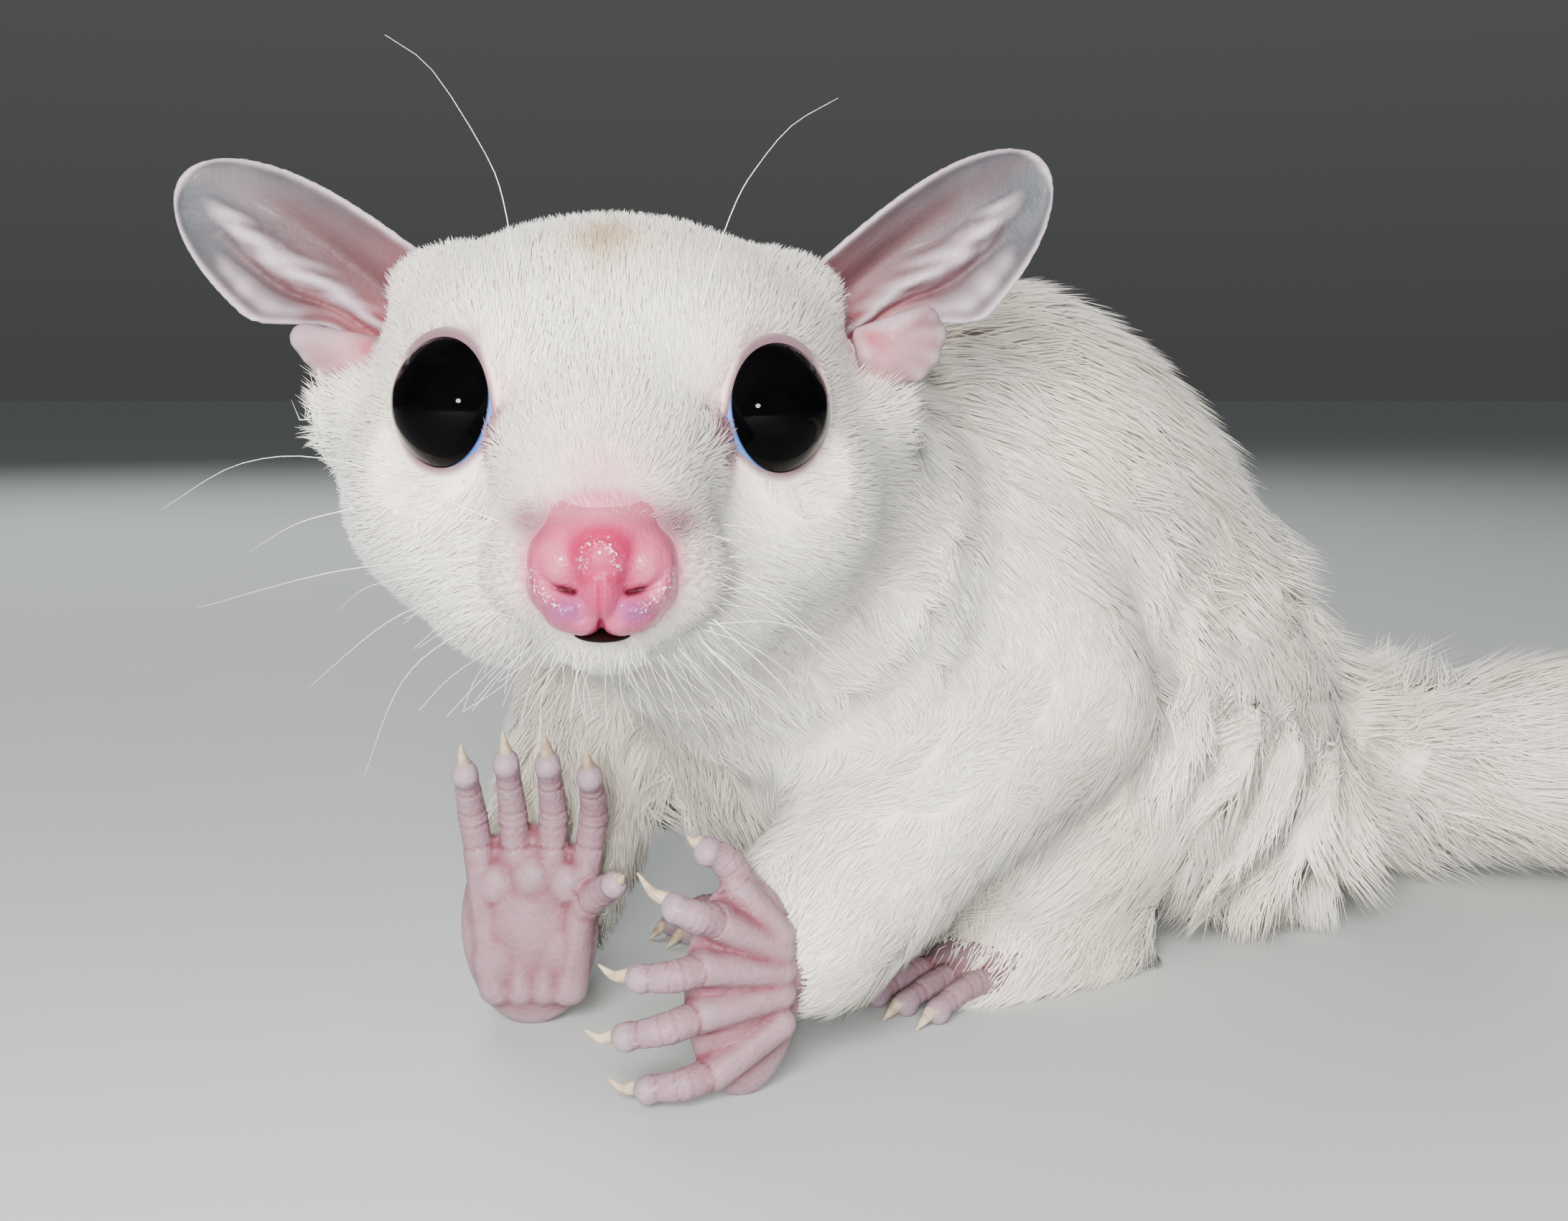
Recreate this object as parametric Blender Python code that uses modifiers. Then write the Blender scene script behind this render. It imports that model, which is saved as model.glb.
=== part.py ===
"""Sugar glider, life size, crouching with both hands cupped in front of its chest."""

import math

import bmesh
import bpy
import numpy as np
from mathutils import Matrix, Vector

# Driving dimensions in millimetres. The eyes' midpoint is (0, 0, EYE_HEIGHT) until the end.
MM = 0.001
EYE_HEIGHT = 46.6
HEAD_YAW = 3.5
HEAD_ROLL = 1.0
EYE_RADIUS = 4.4
EYE_SPREAD = 8.6
EYE_SET_BACK = 1.6
EYE_TURN = 38.0
SOCKET_REACH = 2.4
SOCKET_RADIUS = 4.0
NOSE_TIP_Y = -18.3
NOSE_TIP_Z = -7.0
HEAD_HALF_WIDTH = 17.6
CROWN_HEIGHT = 12.4
JAW_BOTTOM = -15.0
EAR_LENGTH = 19.0
EAR_ROOT_DEPTH = 4.0
EAR_WIDTH = 10.4
EAR_ROOT_WIDTH = 12.6
EAR_TIP_WIDTH = 3.0
EAR_THICKNESS = 1.0
EAR_SPREAD = 15.6
EAR_RISE = 5.2
EAR_SET_BACK = 14.2
EAR_TURN = 8.0
RIGHT_EAR_LIFT = 36.0
LEFT_EAR_LIFT = 40.0
BODY_AXIS = 38.7
BODY_HALF_WIDTH = 19.0
BACK_HEIGHT = 57.5
WAIST = 32.0
TAIL_RADIUS = 11.8
TAIL_LENGTH = 162.0
TAIL_STRAIGHT = 36.0
TAIL_BEND = 118.0
TAIL_SLANT = 0.14
TAIL_ROOT = (57.0, 71.0)
FINGER_RADIUS = 1.25
TOE_RADIUS = 1.15
FOOT_TURN = 40.0
GAP = 0.36
LIMB_ROOM = 1.0

# Rows of the tail's path, and those where a cut crosses it.
TAIL_ROWS = 25
TAIL_ROOT_CUT = 2
TAIL_CUTS = (7, 12, 18)

# The front of the head, within HEAD_ZONE of the eyes, is meshed finer than the coat behind it.
HEAD_ZONE = 19.0
HEAD_TRIANGLES = 1200
COAT_TRIANGLES = 3400
REGION_TRIANGLES = 200

# Triangles that each piece keeps after the cuts.
PIECE_TRIANGLES = {
    "head": 1320,
    "jaw": 220,
    "neck": 420,
    "chest": 600,
    "rump": 560,
    "forearm": 340,
    "upper": 300,
    "leg": 420,
    "patagium": 280,
    "hand": 460,
    "foot": 380,
    "tail": 180,
    "nose": 260,
}

FUR_WHITE = (0.86, 0.82, 0.73, 1.0)
SKIN_PINK = (0.80, 0.46, 0.45, 1.0)
EYE_BLACK = (0.004, 0.004, 0.005, 1.0)


def clearScene():
    for obj in list(bpy.data.objects):
        bpy.data.objects.remove(obj, do_unlink=True)


def makeCollection(name):
    collection = bpy.data.collections.new(name)
    bpy.context.scene.collection.children.link(collection)
    return collection


clearScene()
gliderCollection = makeCollection("sugar_glider")
cutterCollection = makeCollection("cutters")


def makeMaterial(name, colour, roughness):
    material = bpy.data.materials.new(name)
    material.use_nodes = True
    shader = material.node_tree.nodes["Principled BSDF"]
    shader.inputs["Base Color"].default_value = colour
    shader.inputs["Roughness"].default_value = roughness
    shader.inputs["Metallic"].default_value = 0.0
    return material


def spot(x, y, z):
    """A place in millimetres, as a vector in metres."""
    return Vector((x, y, z)) * MM


def turned(yaw=0.0, pitch=0.0, roll=0.0):
    """A rotation from degrees: yaw about Z, then pitch about Y, then roll about X."""
    turn = Matrix.Rotation(math.radians(yaw), 4, "Z")
    turn = turn @ Matrix.Rotation(math.radians(pitch), 4, "Y")
    return turn @ Matrix.Rotation(math.radians(roll), 4, "X")


HEAD_FRAME = Matrix.Translation(spot(0, 0, EYE_HEIGHT)) @ turned(HEAD_YAW, HEAD_ROLL, 0)


def addBall(bm, centre, radii, turn=Matrix.Identity(4), detail=3):
    """One ellipsoid, its radii along its own X, Y and Z."""
    sizes = Matrix.Diagonal((*spot(*radii), 1.0))
    place = Matrix.Translation(spot(*centre)) @ turn @ sizes
    bmesh.ops.create_icosphere(bm, subdivisions=detail, radius=1.0, matrix=place)


def smoothPath(points, count):
    """Rows evenly spread along a smooth curve through the given rows."""
    rows = np.array(points, dtype=float)
    before = 2 * rows[0] - rows[1]
    after = 2 * rows[-1] - rows[-2]
    knots = np.vstack([before, rows, after])
    out = []
    for step in np.linspace(0, len(rows) - 1, count):
        index = min(int(step), len(rows) - 2)
        t = step - index
        a, b, c, d = knots[index : index + 4]
        bend = 2 * a - 5 * b + 4 * c - d
        twist = 3 * b - a - 3 * c + d
        out.append(0.5 * (2 * b + (c - a) * t + bend * t**2 + twist * t**3))
    return np.array(out)


def addChain(bm, points, detail=3):
    """Balls strung along a smooth path of (x, y, z, radius), near enough to merge into one form."""
    rough = smoothPath(points, 60)
    length = float(np.linalg.norm(np.diff(rough[:, :3], axis=0), axis=1).sum())
    spacing = 0.35 * min(point[3] for point in points)
    count = min(max(3, int(length / spacing)), 40)
    for x, y, z, radius in smoothPath(points, count):
        addBall(bm, (x, y, z), (radius, radius, radius), detail=detail)


def settle(obj):
    """Gives the object its evaluated mesh in place of its modifiers."""
    graph = bpy.context.evaluated_depsgraph_get()
    mesh = bpy.data.meshes.new_from_object(obj.evaluated_get(graph))
    obj.modifiers.clear()
    obj.data = mesh


def keepLargestPiece(obj):
    bm = bmesh.new()
    bm.from_mesh(obj.data)
    unseen = set(bm.verts)
    pieces = []
    while unseen:
        front = [unseen.pop()]
        piece = set(front)
        while front:
            for edge in front.pop().link_edges:
                for vert in edge.verts:
                    if vert in unseen:
                        unseen.discard(vert)
                        piece.add(vert)
                        front.append(vert)
        pieces.append(piece)
    pieces.sort(key=len)
    for piece in pieces[:-1]:
        bmesh.ops.delete(bm, geom=list(piece), context="VERTS")
    bm.to_mesh(obj.data)
    bm.free()


def addObject(name, bm, material=None):
    mesh = bpy.data.meshes.new(name)
    bm.to_mesh(mesh)
    bm.free()
    obj = bpy.data.objects.new(name, mesh)
    gliderCollection.objects.link(obj)
    if material:
        mesh.materials.append(material)
    return obj


def triangleCount(mesh):
    mesh.calc_loop_triangles()
    return len(mesh.loop_triangles)


def thinOut(obj, triangles, group=None, kept=0):
    """Decimates to the triangles asked for; with a group, only there, and kept counts the others."""
    thin = obj.modifiers.new("Lighten", "DECIMATE")
    thin.ratio = min(1.0, (triangles + kept) / triangleCount(obj.data))
    thin.use_collapse_triangulate = True
    if group:
        thin.vertex_group = group
    settle(obj)


def fleshForm(name, bm, material, voxel, smoothing, triangles=0):
    """Joined balls made one smooth closed form, lightened to the triangles asked for."""
    obj = addObject(name, bm, material)
    remesh = obj.modifiers.new("Blend", "REMESH")
    remesh.mode = "VOXEL"
    remesh.voxel_size = voxel * MM
    smooth = obj.modifiers.new("Soften", "SMOOTH")
    smooth.factor = 0.5
    smooth.iterations = smoothing
    settle(obj)
    keepLargestPiece(obj)
    if triangles:
        thinOut(obj, triangles)
    return obj


def asCutter(obj):
    gliderCollection.objects.unlink(obj)
    cutterCollection.objects.link(obj)
    obj.hide_render = True
    obj.display_type = "WIRE"
    return obj


def cutBy(obj, cutter, operation="DIFFERENCE"):
    cut = obj.modifiers.new("Cut", "BOOLEAN")
    cut.operation = operation
    cut.solver = "EXACT"
    cut.object = cutter
    settle(obj)


def swollenCopy(obj, by):
    """A slightly larger copy, which cuts a neighbour and leaves the gap between the two."""
    copy = bpy.data.objects.new("room_for_" + obj.name, obj.data.copy())
    gliderCollection.objects.link(copy)
    swell = copy.modifiers.new("Swell", "DISPLACE")
    swell.direction = "NORMAL"
    swell.mid_level = 0.0
    swell.strength = by * MM
    settle(copy)
    return asCutter(copy)


def makeRoom(obj, *neighbours):
    """Cuts the neighbours out of the object, with the gap all round."""
    for neighbour in neighbours:
        cutBy(obj, swollenCopy(neighbour, GAP))
    keepLargestPiece(obj)


def takeOut(name, body, region):
    """Parts the body with a thin cut: what lies inside the region becomes a piece of its own."""
    piece = bpy.data.objects.new(name, body.data.copy())
    gliderCollection.objects.link(piece)
    cutBy(piece, region, "INTERSECT")
    keepLargestPiece(piece)
    cutBy(body, swollenCopy(region, GAP))
    keepLargestPiece(body)
    return piece


def boxRegion(name, centre, sizes, turn=Matrix.Identity(4)):
    bm = bmesh.new()
    place = Matrix.Translation(spot(*centre)) @ turn @ Matrix.Diagonal((*spot(*sizes), 1.0))
    bmesh.ops.create_cube(bm, size=1.0, matrix=place)
    return asCutter(addObject(name, bm))


def ballRegion(name, centre, radii):
    """The space inside an ellipsoid that is given in the head's frame."""
    bm = bmesh.new()
    addBall(bm, centre, radii)
    bm.transform(HEAD_FRAME)
    return asCutter(addObject(name, bm))


def chainRegion(name, points, extra):
    """The space round a chain of balls, wider than it by the extra."""
    bm = bmesh.new()
    addChain(bm, [(x, y, z, radius + extra) for x, y, z, radius in points])
    return asCutter(fleshForm(name, bm, None, 1.2, 4, REGION_TRIANGLES))


def addPair(bm, centre, radii):
    """A ball and its mirror image across the head's middle plane."""
    for side in (-1, 1):
        addBall(bm, (side * centre[0], centre[1], centre[2]), radii)


def eyeAxis(side):
    """The way an eye looks, in the head's frame: forward, well out to the side and a little up."""
    turn = math.radians(EYE_TURN)
    return np.array((side * math.sin(turn), -math.cos(turn), 0.06))


def makeEye(name, side, material):
    bm = bmesh.new()
    centre = spot(side * EYE_SPREAD, EYE_SET_BACK, 0)
    place = HEAD_FRAME @ Matrix.Translation(centre) @ turned(0, 0, 90)
    radius = EYE_RADIUS * MM
    bmesh.ops.create_uvsphere(bm, u_segments=16, v_segments=8, radius=radius, matrix=place)
    return addObject(name, bm, material)


def makeNose(material):
    """Pink nose pad: a glossy dome, a lobe round each nostril and the split upper lip."""
    bm = bmesh.new()
    addBall(bm, (0, NOSE_TIP_Y + 3.1, NOSE_TIP_Z + 0.6), (2.9, 3.1, 2.9))
    addBall(bm, (0, NOSE_TIP_Y + 4.6, NOSE_TIP_Z + 1.4), (2.8, 3.4, 2.5))
    addPair(bm, (2.15, NOSE_TIP_Y + 3.7, NOSE_TIP_Z - 1.6), (1.75, 2.3, 1.9))
    addPair(bm, (1.1, NOSE_TIP_Y + 3.7, NOSE_TIP_Z - 3.1), (1.25, 1.9, 1.3))
    obj = fleshForm("nose", bm, material, 0.35, 3, PIECE_TRIANGLES["nose"])
    obj.data.transform(HEAD_FRAME)
    return obj


def addHead(bm):
    """Broad flat crown, round cheeks and a short pointed muzzle over the narrow jaw."""
    head = bmesh.new()
    crownRadius = 11.4
    addBall(head, (0, 9.5, CROWN_HEIGHT - crownRadius), (15.2, 15.0, crownRadius))
    addPair(head, (10.4, 14.0, 5.0), (6.4, 7.0, 6.2))
    cheekRadius = 8.8
    addPair(head, (HEAD_HALF_WIDTH - cheekRadius, 8.5, -5.4), (cheekRadius, 10.5, 8.8))
    addPair(head, (16.0, 13.5, -0.5), (4.6, 5.0, 5.4))
    addPair(head, (7.0, 3.0, 1.4), (6.0, 4.4, 6.8))
    addChain(head, [(0, -1.5, -2.4, 7.6), (0, -8, -5.4, 6.0), (0, -14.0, -7.6, 3.9)])
    addPair(head, (3.6, -10.6, -8.6), (4.0, 4.2, 3.5))
    addPair(head, (5.6, 4.0, JAW_BOTTOM + 5.0), (6.8, 8.5, 6.6))
    addChain(head, [(0, -2, JAW_BOTTOM + 4.8, 5.4), (0, -9.4, JAW_BOTTOM + 3.6, 3.6)])
    addBall(head, (0, 17.0, -4.0), (13.5, 9.0, 12.0))
    head.transform(HEAD_FRAME)
    mesh = bpy.data.meshes.new("head_balls")
    head.to_mesh(mesh)
    head.free()
    bm.from_mesh(mesh)


def earHalfWidth(s):
    """Half width of the ear at s, from 0 at the root to 1 at the rounded tip."""
    root = 0.5 * EAR_ROOT_WIDTH * (1 - s) ** 2
    leaf = 0.5 * EAR_WIDTH * (1 - max(0.0, (s - 0.4) / 0.6) ** 2.2) ** 0.5
    return max(root, leaf, 0.5 * EAR_TIP_WIDTH)


def makeEar(name, side, material, head, lift, length):
    """A thin cupped leaf that opens forward, deepest at the root."""
    bm = bmesh.new()
    rows = 9
    columns = 6
    bmesh.ops.create_grid(bm, x_segments=rows - 1, y_segments=columns - 1, size=0.5)
    for vert in bm.verts:
        s = 1 - (0.5 - vert.co.x) ** 1.35
        cup = 1.1 + 4.4 * (1 - s) ** 1.5
        z = earHalfWidth(s) * 2 * vert.co.y
        y = 1.2 + 2.6 * (1 - s) ** 2 - cup * (2 * z / EAR_WIDTH) ** 2
        vert.co = spot(side * (s * length - EAR_ROOT_DEPTH), y, z)
    bmesh.ops.triangulate(bm, faces=bm.faces, quad_method="FIXED")
    obj = addObject(name, bm, material)
    thick = obj.modifiers.new("Thickness", "SOLIDIFY")
    thick.thickness = EAR_THICKNESS * MM
    thick.offset = 0.0
    settle(obj)
    place = Matrix.Translation(spot(side * EAR_SPREAD, EAR_SET_BACK, EAR_RISE))
    place = place @ turned(0, -side * lift, side * EAR_TURN)
    obj.data.transform(HEAD_FRAME @ place)
    makeRoom(obj, head)
    return obj


def alongBody(s, side, z):
    """A place s along the body's axis from the chest and side to its left, in millimetres."""
    turn = math.radians(BODY_AXIS)
    x = 10.0 + s * math.cos(turn) + side * math.sin(turn)
    y = 36.0 + s * math.sin(turn) - side * math.cos(turn)
    return (x, y, z)


def addTrunk(bm):
    """Deep chest, high arched back and a round rump, all on the body's axis."""
    stations = [
        (2, 28.5, 15, 16, 19.5),
        (14, 33, 17, 18.5, 22.5),
        (25, 33.5, 16, BODY_HALF_WIDTH, BACK_HEIGHT - 33.5),
        (36, 30.5, 15, BODY_HALF_WIDTH - 2.5, BACK_HEIGHT - 37.5),
        (45, 25, 13, BODY_HALF_WIDTH - 3.5, BACK_HEIGHT - 40.5),
        (53, 18.5, 11.5, 14.5, 14.5),
    ]
    for s, z, along, across, high in smoothPath(stations, 16):
        addBall(bm, alongBody(s, 0, z), (along, across, high), turned(BODY_AXIS))


# Chains of (x, y, z, radius) in millimetres for the long soft forms.
NECK = [(1, 14, 43.4, 14.0), (5, 22, 39.4, 15.8), (10, 30, 34.6, 17.2)]
LIMBS = {
    "forearm_left": [(30.5, 33.6, 22.4, 8.4), (21.0, 25.2, 17.4, 8.0), (11.6, 16.8, 9.8, 7.0)],
    "forearm_right": [(-5.0, 49, 20, 8.4), (-7.0, 39, 13.5, 7.4), (-8.8, 30, 7.4, 6.0)],
    "upper_arm_left": [(20, 40, 38, 12.0), (27, 37, 30, 10.5), (31, 34, 24, 8.8)],
    "upper_arm_right": [(6, 43, 36, 12.0), (0, 46, 28, 10.5), (-4.6, 48.6, 22, 8.8)],
    "leg_left": [(48.5, 56, 18.5, 12.0), (42, 48, 16, 11.6), (31, 39.5, 9.6, 8.4), (36, 43.6, 6.0, 6.2)],
    "leg_right": [(31, 77.8, 18.5, 12.0), (25, 67.6, 16, 11.6), (15, 54, 9.6, 8.4), (19.6, 58.6, 6, 6.2)],
    "patagium_left": [(37, 39, 20, 8.0), (45, 45, 16, 9.4), (51, 50.6, 11.4, 10.2), (56, 57, 9.6, 8.6)],
    "patagium_right": [(1, 53, 20, 8.0), (11, 66, 16, 9.4), (20, 76, 11.4, 10.2), (29, 82, 9.6, 8.6)],
}


def tailPath():
    """Rows of x, y, z and radius from the rump to the tip: right, then round to the front."""
    rows = []
    turnRadius = (TAIL_LENGTH - TAIL_STRAIGHT) / math.radians(TAIL_BEND)
    for step in np.linspace(0, TAIL_LENGTH, TAIL_ROWS):
        ahead = min(step, TAIL_STRAIGHT)
        angle = max(0.0, step - TAIL_STRAIGHT) / turnRadius
        x = TAIL_ROOT[0] + ahead + turnRadius * math.sin(angle)
        y = TAIL_ROOT[1] - TAIL_SLANT * ahead - turnRadius * (1 - math.cos(angle))
        share = step / TAIL_LENGTH
        swell = 0.84 + 0.16 * min(share * 6, 1)
        taper = ((1 - share) * 2.6 + 0.06) ** 0.6
        radius = TAIL_RADIUS * min(swell, taper)
        z = radius - 0.25 + 3.0 * max(0.0, 1 - share * 12)
        rows.append((x, y, z, radius))
    return rows


def makeWholeBody(material, tail):
    """Head, neck, trunk, limbs and tail as one smooth form, before the cuts."""
    bm = bmesh.new()
    addHead(bm)
    addChain(bm, NECK)
    addTrunk(bm)
    for points in LIMBS.values():
        addChain(bm, points)
    addChain(bm, tail)
    body = fleshForm("whole_body", bm, material, 1.0, 7)
    headZone = body.vertex_groups.new(name="head")
    coatZone = body.vertex_groups.new(name="coat")
    headCentre = HEAD_FRAME @ spot(0, -1, 0)
    inHead = set()
    for vert in body.data.vertices:
        if (vert.co - headCentre).length < HEAD_ZONE * MM:
            inHead.add(vert.index)
            headZone.add([vert.index], 1.0, "REPLACE")
        else:
            coatZone.add([vert.index], 1.0, "REPLACE")
    headFaces = sum(2 for face in body.data.polygons if face.vertices[0] in inHead)
    thinOut(body, COAT_TRIANGLES, "coat", headFaces)
    thinOut(body, HEAD_TRIANGLES, "head", COAT_TRIANGLES)
    return body


def addDigit(bm, points, radius, clawLength, clawDrop):
    """A finger or toe with a rounded pad, and a claw past its tip."""
    addChain(bm, [(x, y, z, radius) for x, y, z in points], detail=2)
    tip = np.array(points[-1], dtype=float)
    way = tip - np.array(points[-2], dtype=float)
    way = way / np.linalg.norm(way)
    addBall(bm, tuple(tip - way * 0.2), (radius * 1.12,) * 3, detail=2)
    reach = tip + way * (radius + clawLength * 0.5) + np.array((0, 0, clawDrop * 0.4))
    end = tip + way * (radius + clawLength) + np.array((0, 0, clawDrop))
    addChain(bm, [(*tip, 0.75), (*reach, 0.62), (*end, 0.45)], detail=2)


def makePaw(name, material, wrist, palm, digits, radius):
    """Palm or sole with its digits; the palm is a ball's centre, radii and turn."""
    bm = bmesh.new()
    addChain(bm, wrist)
    centre, radii, turn = palm
    addBall(bm, centre, radii, turned(turn))
    for points, clawLength, clawDrop in digits:
        addDigit(bm, points, radius, clawLength, clawDrop)
    return fleshForm(name, bm, material, 0.4, 2, 2 * PIECE_TRIANGLES[name.split("_")[0]])


def leftHandDigits():
    """Four fingers stacked up from the floor edge of the hand, and the thumb on top."""
    knuckles = [(6.0, 9.8, 12.6), (5.2, 9.2, 9.6), (5.2, 9.4, 6.4), (5.8, 9.8, 2.2)]
    tips = [(3.0, 8.2, 14.0), (0.6, 8.0, 9.2), (-0.4, 8.0, 5.2), (1.0, 8.8, 1.3)]
    digits = []
    for start, end in zip(knuckles, tips):
        middle = [0.5 * (a + b) for a, b in zip(start, end)]
        bent = (middle[0], middle[1] - 1.0, middle[2])
        digits.append(([start, bent, end], 1.9, 0.6))
    digits.append(([(7.4, 11.6, 14.4), (6.4, 11.0, 16.2), (5.0, 10.6, 17.2)], 0.9, 0.2))
    return digits


def rightHandDigits():
    """The far hand stands on its heel, its fingers up and curled forward."""
    digits = []
    for step in range(4):
        x = -12.4 + 2.6 * step
        lean = 0.4 * (step - 1.2)
        top = 19.4 + 1.6 * math.sin(math.pi * (step + 0.6) / 4)
        digits.append(([(x, 25.4, 12.2), (x + lean, 24.6, 16.4), (x + lean, 21.8, top)], 1.8, 0.2))
    digits.append(([(-5.0, 25.0, 9.0), (-3.0, 23.0, 11.0), (-2.0, 21.2, 12.0)], 1.0, 0.2))
    return digits


def footDigits(heel, toes, side):
    """Four toes fanned forward from the sole, and the opposed great toe turned inward."""
    floorZ = TOE_RADIUS - 0.1
    heel = np.array(heel, dtype=float)
    ahead = np.array(toes, dtype=float) - heel
    length = np.linalg.norm(ahead)
    ahead = ahead / length
    across = np.array((-ahead[1], ahead[0])) * side
    digits = []
    for step in range(4):
        start = heel + ahead * length * 0.62 + across * (step - 1.5) * 1.9
        end = heel + ahead * (length - 0.6 * abs(step - 1.2)) + across * (step - 1.5) * 2.9
        middle = (start + end) * 0.5 + across * (step - 1.5) * 0.2
        rows = [(*start, floorZ + 0.5), (*middle, floorZ + 1.0), (*end, floorZ)]
        digits.append((rows, 1.5, -0.3))
    start = heel + ahead * length * 0.42 - across * 2.4
    end = heel + ahead * length * 0.62 - across * 6.2
    digits.append(([(*start, floorZ + 0.4), (*end, floorZ)], 0.3, 0.0))
    return digits


def makeLeftHand(material):
    wrist = [(12.4, 17.0, 9.6, 3.6), (8.4, 12.6, 8.6, 3.0)]
    palm = ((7.4, 11.2, 7.5), (4.2, 2.3, 7.7), 24)
    return makePaw("hand_left", material, wrist, palm, leftHandDigits(), FINGER_RADIUS)


def makeRightHand(material):
    wrist = [(-8.9, 29.6, 7.0, 3.4), (-8.9, 26.6, 7.4, 3.0)]
    palm = ((-8.9, 25.8, 7.6), (5.2, 2.2, 7.8), 0)
    return makePaw("hand_right", material, wrist, palm, rightHandDigits(), FINGER_RADIUS)


def makeLeftFoot(material):
    ankle = [(35, 41.6, 2.4, 2.8), (28, 35.8, 2.2, 2.6)]
    sole = ((26.4, 34.5, 2.1), (5.6, 4.0, 2.4), FOOT_TURN)
    digits = footDigits((36, 42.4), (18.0, 27.8), 1)
    return makePaw("foot_left", material, ankle, sole, digits, TOE_RADIUS)


def makeRightFoot(material):
    ankle = [(17.2, 58.2, 2.4, 2.8), (11.6, 53.0, 2.2, 2.6)]
    sole = ((10.0, 51.4, 2.1), (5.6, 4.0, 2.4), FOOT_TURN)
    digits = footDigits((18.2, 59.4), (2.4, 44.0), -1)
    return makePaw("foot_right", material, ankle, sole, digits, TOE_RADIUS)


def partTail(tail, rows):
    """Parts the bushy tail into four lengths with cuts square to its path."""
    pieces = []
    for number, row in enumerate(TAIL_CUTS, start=2):
        here = np.array(rows[row][:3])
        way = np.array(rows[row + 1][:3]) - np.array(rows[row - 1][:3])
        heading = math.atan2(way[1], way[0])
        centre = here + np.array((math.cos(heading), math.sin(heading), 0)) * 50
        turn = turned(math.degrees(heading))
        region = boxRegion(f"tail_cut_{number}", tuple(centre), (100, 200, 60), turn)
        source = pieces[-1] if pieces else tail
        pieces.append(takeOut(f"tail_{number}", source, region))
    return pieces


def flattenSoles(objects):
    """Trims what reaches below the floor, which leaves the small flats it rests on."""
    floor = boxRegion("floor_cut", (60, 40, -50), (600, 600, 100))
    for obj in objects:
        if min(vert.co.z for vert in obj.data.vertices) < 0:
            cutBy(obj, floor)
            keepLargestPiece(obj)


def centreOnFloor(objects):
    """Moves everything so that the origin is the middle of the base of the whole box."""
    corners = np.array([vert.co[:] for obj in objects for vert in obj.data.vertices])
    low = corners.min(axis=0)
    high = corners.max(axis=0)
    shift = Matrix.Translation((-(low[0] + high[0]) / 2, -(low[1] + high[1]) / 2, 0))
    for obj in objects:
        obj.data.transform(shift)


def buildGlider():
    fur = makeMaterial("white_coat", FUR_WHITE, 0.85)
    skin = makeMaterial("bare_skin", SKIN_PINK, 0.45)
    cornea = makeMaterial("eye", EYE_BLACK, 0.04)

    tailRows = tailPath()
    body = makeWholeBody(fur, tailRows)
    eyes = [makeEye("eye_right", -1, cornea), makeEye("eye_left", 1, cornea)]
    nose = makeNose(skin)

    head = takeOut("head", body, ballRegion("head_region", (0, -2, -1), (27, 20.5, 22)))
    ears = [
        makeEar("ear_right", -1, skin, head, RIGHT_EAR_LIFT, EAR_LENGTH),
        makeEar("ear_left", 1, skin, head, LEFT_EAR_LIFT, EAR_LENGTH + 1.0),
    ]
    jawMiddle = JAW_BOTTOM + 1.4
    jawPath = [(0, 4, jawMiddle, 5.6), (0, -5, jawMiddle, 4.2), (0, -12, jawMiddle - 0.2, 3.0)]
    jawRegion = chainRegion("jaw_region", jawPath, 0.0)
    jawRegion.data.transform(HEAD_FRAME)
    jaw = takeOut("jaw", head, jawRegion)
    for side in (-1, 1):
        socket = np.array((side * EYE_SPREAD, EYE_SET_BACK, 0)) + SOCKET_REACH * eyeAxis(side)
        cutBy(head, ballRegion("socket", tuple(socket), (SOCKET_RADIUS,) * 3))
    makeRoom(head, *eyes, nose)
    makeRoom(jaw, nose)

    leftHand = makeLeftHand(skin)
    rightHand = makeRightHand(skin)
    leftFoot = makeLeftFoot(skin)
    rightFoot = makeRightFoot(skin)

    pieces = {}
    for name, points in LIMBS.items():
        pieces[name] = takeOut(name, body, chainRegion(name + "_region", points, LIMB_ROOM))
    neck = takeOut("neck", body, chainRegion("neck_region", NECK, LIMB_ROOM))
    tailRegionX = tailRows[TAIL_ROOT_CUT][0] + 60
    region = boxRegion("tail_root_region", (tailRegionX, TAIL_ROOT[1], TAIL_RADIUS), (120, 260, 80))
    tail = takeOut("tail_1", body, region)
    tails = [tail, *partTail(tail, tailRows)]
    waist = alongBody(WAIST + 40, 0, 30)
    rump = takeOut("rump", body, boxRegion("rump_region", waist, (80, 90, 90), turned(BODY_AXIS)))
    body.name = "chest"
    makeRoom(pieces["forearm_left"], leftHand)
    makeRoom(pieces["forearm_right"], rightHand)
    makeRoom(pieces["leg_left"], leftFoot)
    makeRoom(pieces["leg_right"], rightFoot)

    objects = [*eyes, nose, head, jaw, *ears, neck, leftHand, rightHand, leftFoot, rightFoot]
    objects += [*pieces.values(), body, rump, *tails]
    for obj in objects:
        kind = obj.name.split("_")[0]
        if kind in PIECE_TRIANGLES:
            thinOut(obj, PIECE_TRIANGLES[kind])
    makeRoom(neck, *ears)
    makeRoom(body, *ears)
    flattenSoles(objects)
    centreOnFloor(objects)
    for obj in objects:
        obj.data.shade_smooth()


buildGlider()
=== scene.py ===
# Sugar glider, life size: skin, coat, eyes, nose, ears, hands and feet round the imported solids.
import math

import bmesh
import bpy
import numpy as np
from mathutils import Matrix, Vector
from mathutils.bvhtree import BVHTree
from mathutils.kdtree import KDTree


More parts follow.
